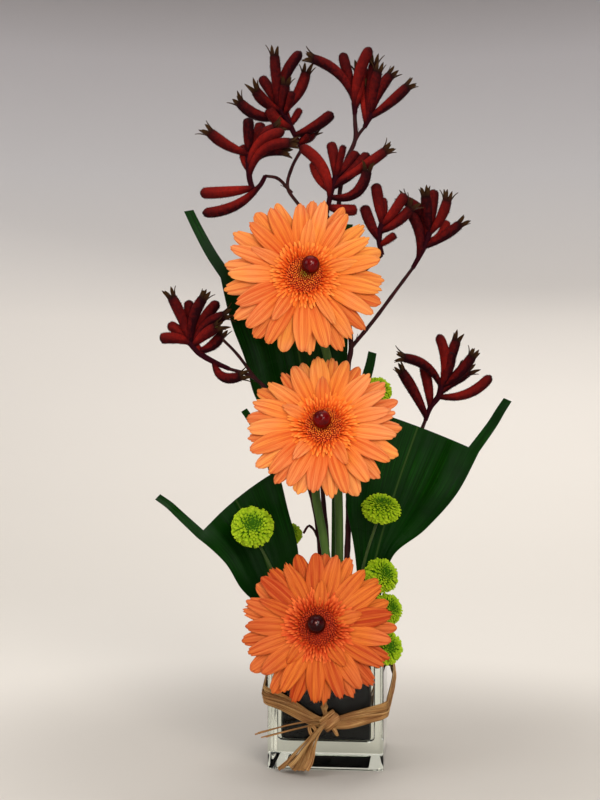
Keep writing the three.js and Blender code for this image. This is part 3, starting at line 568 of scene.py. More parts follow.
# Millimetres, with how much a petal may differ after some of them; places across are shares of w
PETAL = {
    "root": 10.5, "rows": 17, "sides": 36, "half_thick": 0.27, "width_change": 0.13,
    "end": 9.0, "end_change": 2.2, "notch": 0.9, "notch_change": 1.3, "notch_at": 0.4, "tears": 14,
    "arch": 1.5, "arch_change": 0.8, "groove": 0.6, "groove_at": 0.36, "slit": 0.13,
    "curl": 14, "curl_from": 0.7, "twist": 0.16, "bend": 2.4, "turn_change": 0.08, "droop_change": 0.3,
}


def placed(points, flower):
    """Points from the flower's own axes into the arrangement."""
    up = math.radians(flower["up"])
    aside = math.radians(flower["aside"])
    look = [math.cos(up) * math.sin(aside), -math.cos(up) * math.cos(aside), math.sin(up)]
    return points @ axes_of(look) + flower["at"]


def shared_draws(state):
    """Repeatable numbers from -1 to 1: each state is the last one times a constant, plus a second one."""
    while True:
        state = (state * 1664525 + 1013904223) % 2**32
        yield state / 2**31 - 1


def petal_grid(angle, reach, width, rise, droop, lift, ragged, chance):
    """Petals of one layer as closed flat tubes, in the flower's own axes.

    Along a petal, s goes from 0 to 1. Its height is the rise times a sine, less the droop times the
    cube of s. Across it, w is the cosine of the angle round the section and half its thickness the
    sine. The section is arched by 1 - w squared, and grooved where w is near a third. Each column ends
    at its own reach, shorter by nearly a half circle to the sides, at two small notches, and where
    the petal is ragged by a sine of w.
    """
    p = PETAL
    s = (np.linspace(0, 1, p["rows"]) ** 0.85)[None, :, None]
    turn = ring_angles(p["sides"])
    w = np.cos(turn)
    side = np.abs(w)
    bend, twist, hump, curl, notch, wide, blunt = chance.uniform(-1, 1, (7, len(angle), 1, 1))
    round_end = (p["end"] - p["end_change"] * blunt) * (1 - np.sqrt(1 - 0.97 * side**2))
    deep = np.maximum(p["notch"] + p["notch_change"] * notch, 0.1)
    round_end = round_end + deep * bell(side, p["notch_at"], p["slit"])
    round_end = round_end + ragged * np.maximum(0.4 + hump, 0) * (1 + np.sin(p["tears"] * w + 9 * bend))
    along = p["root"] + (reach[:, None, None] - round_end - p["root"]) * s
    half = 0.5 * width * (1 + p["width_change"] * wide) * smooth_values(s, *PETAL_WIDTHS)
    fade = np.sin(math.pi * np.clip(0.12 + 0.8 * s, 0, 1))
    arch = (p["arch"] + p["arch_change"] * hump) * (1 - w**2)
    arch = arch - p["groove"] * bell(side, p["groove_at"], p["slit"])
    height = lift + rise * np.sin(0.58 * math.pi * s) - droop[:, None, None] * s**3
    height = height + p["curl"] * curl * np.clip(s - p["curl_from"], 0, 1) ** 2
    height = height + arch * fade + p["half_thick"] * np.sin(turn)
    roll = p["twist"] * twist * s
    sideways = half * w * np.cos(roll) + p["bend"] * bend * s**2
    height = height + half * w * np.sin(roll)
    outward = np.stack([np.cos(angle), np.sin(angle)], axis=-1)[:, None, None]
    tangent = outward[..., ::-1] * [-1, 1]
    flat = outward * along[..., None] + tangent * sideways[..., None]
    return np.concatenate([flat, height[..., None]], axis=-1), s, w


def petals(name, flower):
    """The whole ring of petals of one flower."""
    skin = Skin()
    chance = np.random.default_rng(flower["seed"])
    drawn = shared_draws(flower["seed"])
    for layer, (count, share, width, rise, droop, lift, start, change) in LAYERS.items():
        if layer in ("lower", "upper"):
            draws = np.array([[next(drawn) for _ in range(3)] for _ in range(count)])
        else:
            draws = chance.uniform(-1, 1, (count, 3))
        angle = np.arange(count) + start + PETAL["turn_change"] * draws[:, 0]
        angle = 2 * math.pi * angle / count
        reach = flower["reach"] * share * (1 + change * draws[:, 1])
        droops = droop * (1 + PETAL["droop_change"] * draws[:, 2])
        grid, s, w = petal_grid(angle, reach, width, rise, droops, lift, flower["ragged"], chance)
        tint = chance.uniform(0, 1, (count, 1, 1))
        skin.tubes(placed(grid, flower), along=s, across=w, tint=tint, red=flower["red"])
    skin.piece("petals_" + name, PETAL_SKIN, ["gerbera_%s_petals" % name])


# %% [markdown]
# The colour of a petal runs from a hot orange at its root to a lighter peach, pinker in soft patches,
# with fine lengthwise streaks and two grooves that are painted darker, as painted shade in the creases. The
# streaks, the rim and a random tone for each petal also draw it towards a deeper orange. The marks
# stored at the points say how far along and across a point lies, so the streaks follow each petal
# however it bends. The lowest flower is redder than the others.

# %% Petal finish
PETAL_SKIN = Finish("petal", Roughness=0.55, Specular_IOR_Level=0.12, Sheen_Weight=0.03)
along = PETAL_SKIN.mark("along")
across = PETAL_SKIN.mark("across")
tint = PETAL_SKIN.mark("tint")
streak = PETAL_SKIN.noise(PETAL_SKIN.join(across * 7.0, along * 0.8, tint * 31.0), 2.2, 4.0)
vein = PETAL_SKIN.noise(PETAL_SKIN.join(across * 26.0, along * 1.4, tint * 17.0), 2.0, 2.0)
side = abs(across)
groove = side.between(0.16, 0.36) * (1 - side.between(0.38, 0.6))
rim = side.between(0.8, 1.0)
blush = PETAL_SKIN.noise(PETAL_SKIN.place(), 28.0, 2.0).between(0.38, 0.62)
light = along.ramp((0.0, tone(234, 104, 14)), (0.3, tone(240, 133, 36)), (1.0, tone(244, 163, 74)))
light = (blush * along * 0.6).mix(light, tone(236, 147, 104))
deep = along.ramp((0.0, tone(206, 52, 4)), (0.5, tone(208, 82, 22)), (1.0, tone(207, 94, 44)))
# Painted shade: the grooves darken the petal. The streaks, the rim and the random tint are its own colour.
shade = (streak.between(0.35, 0.7) * 0.5 + groove * 0.3 + rim * 0.3 + tint * 0.55 - 0.04).at_most(1.0)
peach = shade.mix(light, deep)
coral = (blush * along * 0.5).mix(tone(222, 118, 40), tone(220, 118, 74))
coral = shade.mix(coral, tone(170, 52, 10))
PETAL_SKIN.paint(Base_Color=PETAL_SKIN.mark("red").mix(peach, coral), Roughness=0.48 + vein * 0.2)
PETAL_SKIN.bump(vein * 0.4 + (1 - groove) * 0.6, 0.3)

for name, flower in GERBERAS.items():
    petals(name, flower)

# %% [markdown]
# ## Discs and berries
#
# The middle of a gerbera is hundreds of tiny tube-shaped florets on a low dome, with a fringe of short
# straps round them. Florets grow one after another, each turned 137.5 degrees from the last, and that
# rule alone makes the crossing spirals of a real disc. The dome under them only fills the gaps. Each
# flower also has a glossy dark red berry pinned in its disc.

# %% Disc
GOLDEN = math.radians(137.508)
DISC = {
    "florets": 290,
    "spacing": 0.77,
    "stray": 0.3,
    "places": [0, 5, 9.6, 12, 13.5],
    "heights": [4.7, 5.1, 4.6, 4.0, 3.4],
    "bare": 4.9,  # distance from the berry's middle within which no floret stands
    "bud": [0.3, 0.46, 0.52, 0.4, 0.08],
    "tube": [0.26, 0.3, 0.32, 0.4, 0.52],
}
# Each row of the fringe: root radius, tilt up from the flower's face in degrees, length, half width
FRINGE = [
    (12.2, 62, 3.8, 0.55), (13.2, 52, 5.2, 0.65), (14.2, 44, 6.4, 0.75), (15.2, 37, 7.4, 0.85),
    (16.2, 31, 8.0, 0.95), (17.0, 25, 8.4, 1.0),
]
STRAPS = 42
STRAP = {"foot": 2.6, "half_thick": 0.16, "widths": [0.7, 0.95, 1.1, 1.1, 0.95, 0.5]}
# Radius and height of points on the dome
DOME = [
    [0.3, 0.95], [6, 0.95], [12.6, 0.95], [13.4, 1.5], [12.8, 2.1], [10.5, 2.6],
    [7, 3.1], [5, 3.3], [2.5, 3.1], [0.3, 3.0],
]


def disc_florets(flower, chance):
    """The tube florets: number n stands at the spacing times the root of n, turned by n golden angles.

    A floret leans outwards by the square of its distance from the middle. Those in the middle are
    closed buds, swollen halfway up, and the rest are tubes that open at the top.
    """
    number = np.arange(DISC["florets"]) + 0.5
    stray = chance.uniform(-DISC["stray"], DISC["stray"], (2, len(number)))
    reach = np.abs(DISC["spacing"] * np.sqrt(number) + stray[0])
    turn = number * GOLDEN + stray[1] / np.maximum(reach, 1)
    outward = spokes(turn)
    free = np.linalg.norm(outward[:, :2] * reach[:, None] - flower["berry"], axis=1) > DISC["bare"]
    reach, outward = reach[free], outward[free]
    bud = np.clip((6 - reach) / 2, 0, 1)[:, None]
    lean = 0.06 + 0.5 * (reach / 12) ** 2 + chance.uniform(-0.12, 0.12, len(reach))
    length = np.where(reach < 5, 1.6, 2.6) * chance.uniform(0.7, 1.2, len(reach))
    axis = outward * np.sin(lean)[:, None] + UP * np.cos(lean)[:, None]
    top = outward * reach[:, None] + UP * smooth_values(reach, DISC["places"], DISC["heights"])[:, None]
    u = np.linspace(-1, 0.12, 5)
    path = top[:, None] + axis[:, None] * (length[:, None] * u)[..., None]
    radii = bud * DISC["bud"] + (1 - bud) * DISC["tube"]
    side = np.cross(UP, outward)[:, None]
    marks = {"along": (u + 1)[None, :, None], "zone": (reach / 20)[:, None, None]}
    return sweep(path, side, round_section(radii, 6)), marks


def fringe(radius, tilt, length, half, chance):
    """One row of short straps, which rise by the tilt and bend over towards their tips."""
    turn = 2 * math.pi * (np.arange(STRAPS) + chance.uniform(-0.3, 0.3, STRAPS)) / STRAPS + radius
    u = np.linspace(0, 1, len(STRAP["widths"]))
    long = length * chance.uniform(0.8, 1.15, (STRAPS, 1))
    climb = math.radians(tilt) + chance.uniform(-0.15, 0.15, (STRAPS, 1)) - 0.35 * u
    reach = radius + long * u * np.cos(climb)
    height = STRAP["foot"] + long * u * np.sin(climb)
    outward = spokes(turn)[:, None]
    path = outward * reach[..., None] + UP * height[..., None]
    section = strap_section(half * np.array(STRAP["widths"]), STRAP["half_thick"], 6, -0.3)
    marks = {"along": u[None, :, None], "zone": radius / 15}
    return sweep(path, np.cross(UP, outward), section), marks


def disc(name, flower):
    """The dome, its florets and its fringe as one piece."""
    skin = Skin()
    chance = np.random.default_rng(flower["seed"] + 1)
    skin.tubes(placed(turned(DOME), flower), zone=0.5)
    rows = [disc_florets(flower, chance)] + [fringe(*row, chance) for row in FRINGE]
    for grid, marks in rows:
        tint = chance.uniform(0, 1, (len(grid), 1, 1))
        skin.tubes(placed(grid, flower), tint=tint, red=flower["red"], **marks)
    skin.piece("disc_" + name, FLORET, ["gerbera_%s_disc" % name], sharp=60)


# %% [markdown]
# A floret is dark at its foot and bright at its tip, and its colour depends on how far out it stands:
# yellow-green buds in the middle, then a speckled ring of red-brown and gold, then the orange fringe.

# %% Disc finish
FLORET = Finish("floret", Roughness=0.6, Specular_IOR_Level=0.12, Sheen_Weight=0.03)
along = FLORET.mark("along")
zone = FLORET.mark("zone")
tint = FLORET.mark("tint")
ZONES = [0.0, 0.28, 0.6, 0.8, 1.0]
FOOT = [tone(110, 104, 6), tone(138, 26, 2), tone(166, 32, 2), tone(222, 62, 4), tone(228, 84, 16)]
TIP = [tone(164, 156, 30), tone(200, 66, 6), tone(220, 70, 8), tone(235, 95, 12), tone(239, 115, 30)]
GOLD = [tone(190, 184, 64), tone(244, 134, 36), tone(244, 118, 40), tone(245, 130, 40), tone(247, 146, 60)]
WINE = [tone(70, 8, 2), tone(104, 8, 1), tone(132, 18, 2), tone(182, 40, 5), tone(192, 54, 10)]
RUST = [tone(132, 40, 8), tone(190, 52, 8), tone(212, 74, 20), tone(228, 98, 36), tone(232, 112, 48)]
foot, tip, gold, wine, rust = [zone.ramp(*zip(ZONES, row)) for row in (FOOT, TIP, GOLD, WINE, RUST)]
rise = along.between(0.3, 0.9)
lit = rise.mix(foot, tint.mix(tip, gold))
dark = (rise * (tint * 0.7 + 0.3)).mix(wine, rust)
speck = FLORET.noise(FLORET.place(), 900.0, 1.0)
FLORET.paint(Base_Color=FLORET.mark("red").mix(lit, dark), Roughness=0.5 + speck * 0.3)
FLORET.bump(speck, 0.06)

for name, flower in GERBERAS.items():
    disc(name, flower)

# %% Berry
# Radius, height of its middle, and how deep and wide the dimple is and how high and wide the tip in it
BERRY = {"radius": 6.4, "height": 10.1, "dimple": (0.32, 1.3), "tip": (0.42, 0.45)}


def berry(name, flower):
    """A ball turned from a half circle, dimpled round a small tip at its top."""
    skin = Skin()
    angle = np.linspace(0.02, math.pi - 0.02, 30)
    radius = BERRY["radius"] * np.sin(angle)
    top = angle > math.pi / 2
    (deep, wide), (high, narrow) = BERRY["dimple"], BERRY["tip"]
    dimple = deep * bell(radius, 0, wide) - high * bell(radius, 0, narrow)
    height = -BERRY["radius"] * np.cos(angle) - np.where(top, dimple, 0)
    grid = turned(np.stack([radius, height], axis=-1)) + [*flower["berry"], BERRY["height"]]
    tip = np.where(top, bell(radius, 0, 0.5), 0)[:, None]
    skin.tubes(placed(grid, flower), tip=tip, red=flower["red"])
    skin.piece("berry_" + name, BERRY_SKIN, ["gerbera_%s_berry" % name])


BERRY_SKIN = Finish("berry_skin", Roughness=0.12, Specular_IOR_Level=0.12)
cloud = BERRY_SKIN.noise(BERRY_SKIN.place(), 160.0, 3.0)
ripe = cloud.between(0.35, 0.68).mix(tone(66, 0, 2), tone(104, 2, 3))
black = cloud.between(0.35, 0.68).mix(tone(32, 1, 2), tone(54, 2, 4))
skin_colour = BERRY_SKIN.mark("red").mix(ripe, black)
BERRY_SKIN.paint(Base_Color=BERRY_SKIN.mark("tip").mix(skin_colour, tone(178, 120, 110)))
BERRY_SKIN.paint(Roughness=0.07 + cloud * 0.05)
BERRY_SKIN.bump(cloud, 0.05)

for name, flower in GERBERAS.items():
    berry(name, flower)

# %% [markdown]
# ## Flower stems and their leafy cups
#
# A gerbera's stem is a plain hairy stalk that widens into a cup of pointed green bracts behind the
# petals. The stalk is one tube, the cup a turned profile, and the bracts are straps laid on it in two
# rows. The hairs are single three-sided points, because thousands of round ones would cost too much.

# %% Gerbera stems
STEM = {"end": 54, "radius": 3, "rows": 90, "hairs": 900}  # it ends inside the foam, 54 mm up
# Length and width of the hairs on each thing, and how far they lean along it
HAIRS = {
    "stem": (0.6, 0.05, 0.2),
    "paw_stem": (0.55, 0.05, 0.3),
    "paw_axis": (0.8, 0.06, 0.4),
    "paw_flower": (1.15, 0.1, 0.5),
}
CUP = {"top": -2.9, "depth": 10, "neck": 3.3, "bracts": 21}
# Radius of the cup and height above its foot
CUP_PROFILE = [[0.3, -0.5], [3.3, 0], [5.2, 2.4], [7.8, 6.2], [9.6, 9.4], [9.8, 10], [0.3, 10]]
# Each row of bracts: its start and end, as shares of the cup's depth, and how far its tips stand off
BRACT_ROWS = [(0.3, 1.02, 0.5), (-0.1, 0.72, 0.0)]


def cut_end(points):
    """The end of a stem: straight below its last point, inside the foam."""
    return [*points[-1][:2], STEM["end"]]


def hairs(skin, grid, centre, count, kind, chance, **marks):
    """Sets hairs on a tube, each on a chance point of it: outwards, and leaning the way the tube goes."""
    length, width, lean = HAIRS[kind]
    rows, ring = grid.shape[:2]
    row = chance.uniform(0, rows - 1.001, count)
    i = row.astype(int)
    share = (row - i)[:, None]
    j = chance.integers(0, ring, count)
    root = grid[i, j] * (1 - share) + grid[i + 1, j] * share
    middle = centre[i] * (1 - share) + centre[i + 1] * share
    along = unit(centre[i + 1] - centre[i])
    out = unit(unit(root - middle) + lean * along + 0.35 * chance.normal(size=(count, 3)))
    long = length * chance.uniform(0.6, 1.2, (count, 1))
    skin.spikes(root - 0.1 * out, out * long, along, width, **marks)


def gerbera_stem(name, flower):
    """The stalk from the cup down into the foam, the cup, two rows of bracts, and the hairs."""
    skin = Skin()
    chance = np.random.default_rng(flower["seed"] + 2)
    top = CUP["top"]
    neck = placed(np.array([[0, 0, top - 6], [0, 0, top - 14]]), flower).tolist()
    path = smooth_path([*neck, *flower["stem"], cut_end(flower["stem"])], STEM["rows"])
    stalk = sweep(path, RIGHT, round_section(STEM["radius"], 28, 9, 0.02))
    skin.tubes(stalk, leafy=0.0)
    hairs(skin, stalk, path, STEM["hairs"], "stem", chance, leafy=0.6)
    base = top - CUP["depth"]
    skin.tubes(placed(turned(CUP_PROFILE) + UP * base, flower), leafy=0.3)
    u = np.linspace(0, 1, 8)
    for row, (start, reach, off) in enumerate(BRACT_ROWS):
        turn = 2 * math.pi * (np.arange(CUP["bracts"]) + 0.5 * row) / CUP["bracts"]
        rise = start + (reach - start) * u
        radius = 0.35 + CUP["neck"] + 6.6 * np.clip(rise, 0, 1) ** 0.8 + off * u**3
        outward = spokes(turn)[:, None]
        path = outward * radius[:, None] + UP * (base + CUP["depth"] * rise)[:, None]
        half = 1.25 * np.sin(math.pi * (0.2 + 0.78 * u)) ** 0.7
        grid = sweep(path, np.cross(UP, outward), strap_section(half, 0.2, 6, -0.2))
        skin.tubes(placed(grid, flower), leafy=0.4 + 0.6 * u[None, :, None])
    skin.piece("stem_" + name, STALK, ["gerbera_%s_stem" % name], sharp=60)


STALK = Finish("green_stalk", Roughness=0.5, Specular_IOR_Level=0.15, Sheen_Weight=0.05)
stripe = STALK.noise(STALK.place(420, 420, 24), 1.0, 3.0)
patch = STALK.noise(STALK.place(), 45.0, 2.0)
green = patch.ramp((0.35, tone(24, 50, 12)), (0.65, tone(50, 80, 26)))
bract = stripe.ramp((0.35, tone(50, 84, 26)), (0.65, tone(92, 126, 50)))
fresh = STALK.mark("leafy").mix(stripe.mix(green, tone(78, 104, 42)), bract)
# Painted shade: where the dark mark is set, on the button stalks, the green is painted darker.
STALK.paint(Base_Color=STALK.mark("dark").mix(fresh, stripe.mix(tone(26, 42, 10), tone(58, 76, 24))))
STALK.paint(Roughness=0.4 + stripe * 0.3)
STALK.bump(stripe, 0.12)

for name, flower in GERBERAS.items():
    gerbera_stem(name, flower)

# %% [markdown]
# ## Leaves cut square, with ribbons
#
# Each leaf is a broad glossy blade whose top was cut off square, with a strip of both margins left
# standing like a ribbon. The two edges and the midrib are the given curves. Between them the blade is the
# parabola through the three, so it cups as a real leaf does. A subdivided plane would do, but a grid
# lets the midrib, the pleats and the wavy margin be written as heights over it.

# %% Leaf blades
LEAVES = {
    "back": {
        "left": [[2, 17, 189], [-20, 12, 219], [-51, 5, 253], [-60, 4, 282], [-70, 5, 308], [-78, 6, 342]],
        "rib": [[3.5, 18, 189], [-10, 17, 232], [-21, 14, 283], [-27, 12, 319], [-30, 11, 349]],
        "right": [[5, 17, 189], [8, 13, 232], [13, 7, 286], [12, 6, 319], [9, 7, 349]],
        "left_ribbon": [[-88, 5, 357], [-97, 4, 374], [-104, 2, 389]],
        "right_ribbon": [[13, 6, 364], [17, 5, 380]],
        "stalk": [[3.5, 18, 193], [3, 20, 140], [1, 20, 82]],
    },
    "left": {
        "left": [[-29, -4, 94], [-46, -8, 107], [-63, -10, 121], [-74, -11, 140], [-94, -12, 157]],
        "rib": [[-26, -2, 93], [-38, -1, 119], [-50, 0, 151], [-67, -1, 183]],
        "right": [[-23, -4, 93], [-20, -6, 112], [-22, -7, 141], [-29, -7, 175], [-37, -6, 204]],
        "left_ribbon": [[-107, -13, 170], [-115, -14, 178], [-123, -14, 184]],
        "right_ribbon": [[-46, -5, 227], [-52, -4, 238], [-59, -2, 248]],
        "stalk": [[-27, -1.5, 97], [-23, -3, 88], [-21, -3, 80]],
    },
    "right": {
        "left": [[22, 5, 93], [20, 5, 137], [12, 5, 182], [15, 5, 225], [19, 4, 250]],
        "rib": [[24.5, 6, 92], [28, 9, 110], [34, 10, 142], [48, 10, 189], [64, 9, 235]],
        "right": [[27, 5, 93], [36, 6, 112], [47, 4, 144], [69, 3, 162], [90, 2, 185], [107, 1, 217]],
        "left_ribbon": [[23, 3, 270], [26, 2, 280], [28, 1, 289]],
        "right_ribbon": [[120, 0, 236], [125, -1, 245], [130, -1, 253]],
        "stalk": [[25, 6.5, 96], [23, 5, 88], [22, 4, 80]],
    },
}
BLADE = {
    "rows": 91, "ribbon_rows": 25, "margin": 0.17, "strips": 6, "middle": 46, "thickness": 0.5,
    "taper": 0.25, "fold": 2.0, "fold_at": 0.66, "pleat": 0.26, "pleats": 5, "wave": 0.9, "waves": 2.3,
    "channel": 0.5, "channel_width": 1.1, "rib": 0.9, "stalk": (1.5, 1.6), "stalk_rows": 50,
}


def blade_columns():
    """Places across the blade from -1 to 1: even in the two ribbons, and denser towards the midrib."""
    ribbon = np.linspace(-1, BLADE["margin"] - 1, BLADE["strips"] + 1)
    even = np.linspace(-1, 1, BLADE["middle"] + 1)[1:-1]
    middle = (1 - BLADE["margin"]) * np.sign(even) * np.abs(even) ** 1.4
    return np.concatenate([ribbon, middle, -ribbon[::-1]])


def facing(grid):
    """The way a grid faces at each point, square to its rows and columns, turned to the front."""
    normal = unit(np.cross(np.gradient(grid, axis=1), np.gradient(grid, axis=0)))
    return np.where(normal[..., 1:2] > 0, -normal, normal)


# %% Build a leaf
def leaf(name, shape, chance):
    """The blade, its two ribbons and its stalk as one piece.

    Across the blade w goes from -1 to 1. The left edge counts by half of w squared less w, the midrib
    by 1 less w squared, and the right edge by half of w squared plus w.
    """
    w = blade_columns()
    rows, more, strip = BLADE["rows"], BLADE["ribbon_rows"], BLADE["strips"]
    edges = [smooth_path(shape[key], rows)[:, None] for key in ["left", "rib", "right"]]
    square = (w**2)[None, :, None]
    even = w[None, :, None]
    body = edges[0] * (square - even) / 2 + edges[1] * (1 - square) + edges[2] * (square + even) / 2
    half = np.linalg.norm(edges[2] - edges[0], axis=-1) / 2
    along = np.linspace(0, 1, rows)[:, None]
    front, back = blade_faces(body, w, half, along, chance)
    fronts, backs = ribbon_faces(shape, body, front)
    filled = np.ones((rows + more - 2, len(w) - 1), bool)
    filled[rows - 1:, strip:-strip] = False
    length = np.concatenate([along, 1 + 0.4 * np.linspace(0, 1, more)[1:, None]])
    wide = np.append(half, np.full(more - 1, half[-1]))[:, None]
    skin = Skin()
    sheets = [np.vstack([front, fronts[1:]]), np.vstack([back, backs[1:]])]
    skin.sheet(*sheets, filled, across=w[None], along=length, wide=wide)
    path = smooth_path([*shape["stalk"], cut_end(shape["stalk"])], BLADE["stalk_rows"])
    section = round_section(np.linspace(*BLADE["stalk"], BLADE["stalk_rows"]), 16, 1, 0.12)
    skin.tubes(sweep(path, RIGHT, section), across=0.05, along=0.0, wide=10.0)
    skin.piece("blade_" + name, LEAF, ["leaf_" + name], sharp=50)


def blade_faces(body, w, half, along, chance):
    """Front and back of the blade, from heights over its plain shape.

    Both have soft pleats, a wave that grows towards the margins, and a low fold before each margin.
    The front also has a channel along the midrib, and the back a raised rib.
    """
    phase = chance.uniform(0, 6, 2)
    pleat = BLADE["pleat"] * np.cos(2 * math.pi * BLADE["pleats"] * w + phase[0]) * (1 - np.abs(w))
    fold = BLADE["fold"] * bell(np.abs(w), BLADE["fold_at"], 0.15) * np.clip(half / 40, 0, 1)
    turns = 2 * math.pi * BLADE["waves"] * along
    wavy = BLADE["wave"] * np.sin(turns + phase[1] + 1.5 * w) * np.abs(w) ** 3
    shared = np.clip(along * 6, 0, 1) * (pleat + wavy + fold)
    channel = bell(w * half, 0, BLADE["channel_width"])
    relief = shared - BLADE["channel"] * channel * np.clip(half / 8, 0, 1)
    behind = shared - BLADE["thickness"] - BLADE["rib"] * channel
    normal = facing(body)
    return body + normal * relief[..., None], body + normal * behind[..., None]


def ribbon_faces(shape, body, front):
    """Front and back of both ribbons, which go on from the last row of the blade.

    A ribbon's outer edge is its own curve, and its inner edge lies at the width of the cut, which
    tapers.
    """
    more, strip = BLADE["ribbon_rows"], BLADE["strips"]
    fronts = np.zeros((more, body.shape[1], 3))
    backs = np.zeros((more, body.shape[1], 3))
    t = np.linspace(0, 1, more)[:, None, None]
    left = (slice(0, strip + 1), "left", 0, strip)
    right = (slice(-1, -strip - 2, -1), "right", -1, -strip - 1)
    for columns, key, outer, inner in [left, right]:
        edge = smooth_path([shape[key][-1], *shape[key + "_ribbon"]], more)[:, None]
        inward = (body[-1, inner] - body[-1, outer]) * (1 - BLADE["taper"] * t)
        share = np.linspace(0, 1, strip + 1)[None, :, None]
        ribbon = edge + inward * share
        out = facing(ribbon)
        held = (front[-1, columns] - body[-1, columns]) * (1 - t) ** 2
        curl = out * (0.5 * np.sin(math.pi * share) * t)
        fronts[:, columns] = ribbon + held + curl
        backs[:, columns] = ribbon + held + curl - out * BLADE["thickness"]
    return fronts, backs


# %% [markdown]
# The blade is very dark green and glossy, and its veins run lengthwise, all beside one another. So the
# colour and the bump follow the mark that says how far across the blade a point lies. The midrib is
# a lighter line.

# %% Leaf finish
LEAF = Finish("leaf_blade", Roughness=0.3, Specular_IOR_Level=0.05)
across = LEAF.mark("across")
along = LEAF.mark("along")
vein = LEAF.noise(LEAF.join(across * 60.0, along * 2.0, 0.0), 1.0, 3.0)
fine = LEAF.noise(LEAF.join(across * 240.0, along * 5.0, 3.0), 1.0, 2.0)
patch = LEAF.noise(LEAF.place(), 30.0, 3.0)
rib = 1 - (abs(across) * LEAF.mark("wide")).between(0.25, 1.1)
green = vein.ramp((0.3, tone(3, 26, 0)), (0.55, tone(6, 45, 1)), (0.75, tone(14, 66, 5)))
green = patch.between(0.4, 0.7).mix(green, tone(5, 33, 3))
LEAF.paint(Base_Color=(rib * 0.7).mix(green, tone(48, 72, 26)), Roughness=0.2 + patch * 0.2)
LEAF.bump(vein * 0.6 + fine * 0.4, 0.22)

chance = np.random.default_rng(5)
for name, shape in LEAVES.items():
    leaf(name, shape, chance)

# %% [markdown]
# ## Button chrysanthemums
#
# A button flower is a ball of small spoon-shaped florets, packed in the same golden-angle spirals as a
# disc. Each floret is a strap from a hidden core to the ball's surface, where it bends outwards. In the
# middle of the face they are shorter and darker, which makes the green dimple.

# %% Button flowers
# Centre, radius, depth against width, the way the face looks, and the stem
BUTTONS = [
    {"at": [-54, -26, 166], "radius": 14.5, "depth": 0.72, "face": [0.05, -0.85, 0.5],
     "stem": [[-52, -20, 157], [-42, -24, 139], [-30, -21, 112], [-20, -17, 84], [-18, -16, 70]]},
    {"at": [36, -18, 178], "radius": 13.4, "depth": 0.72, "face": [0.12, -0.42, 0.9],
     "stem": [[33, -15, 168], [25, -15, 143], [18, -14, 110], [12.5, -13, 82], [12, -13, 70]]},
    {"at": [-28, 15, 157], "radius": 8.6, "depth": 0.8, "face": [0.2, -0.7, 0.7],
     "stem": [[-27, 17, 150], [-23, 15, 128], [-16, 13, 100], [-14, 13, 82], [-14, 13, 70]]},
    {"at": [36, 18, 261], "radius": 10, "depth": 0.78, "face": [0.3, -0.8, 0.5],
     "stem": [[34, 22, 254], [30, 18, 200], [24, 16, 140], [18.5, 14, 84], [18, 14, 70]]},
    {"at": [36, -24, 132], "radius": 12.4, "depth": 0.76, "face": [0.55, -0.65, 0.5],
     "stem": [[31, -18, 124], [27, -13, 108], [21, -9.5, 90], [20, -9, 80], [20, -9, 70]]},
    {"at": [40, -30, 109], "radius": 11, "depth": 0.8, "face": [0.65, -0.65, 0.4],
     "stem": [[35, -25, 104], [31, -18, 94], [27.5, -14.5, 84], [27, -14, 78], [27, -14, 70]]},
    {"at": [37, -57.5, 87.5], "radius": 11.6, "depth": 0.78, "face": [0.5, -0.8, 0.3],
     "stem": [[34, -51, 88], [32, -42, 91], [29, -31, 89], [26.5, -23, 81], [26, -22, 70]]},
    {"at": [-43, -46.5, 86], "radius": 9.5, "depth": 0.8, "face": [-0.55, -0.8, 0.3],
     "stem": [[-40, -42, 87], [-35, -35, 89], [-28, -25, 86], [-25, -20.5, 79], [-24.5, -20, 70]]},
]
# The reach is the angle from the face to the last florets, in degrees, and core, root, dimple and width
# are shares of the ball's radius
BUTTON = {
    "florets": 400, "reach": 124, "core": 0.84, "root": 0.62, "dimple": 0.3, "dimple_angle": 0.42,
    "width": 0.08, "widths": [0.6, 0.85, 1.05, 0.85], "stem": 1.0,
}


def button_surface(polar, head):
    """Radius and height of the ball at an angle from its face: an oval with a dimple in the middle."""
    dimple = BUTTON["dimple"] * bell(polar, 0, BUTTON["dimple_angle"])
    return head["radius"] * np.sin(polar), head["radius"] * head["depth"] * (np.cos(polar) - dimple)


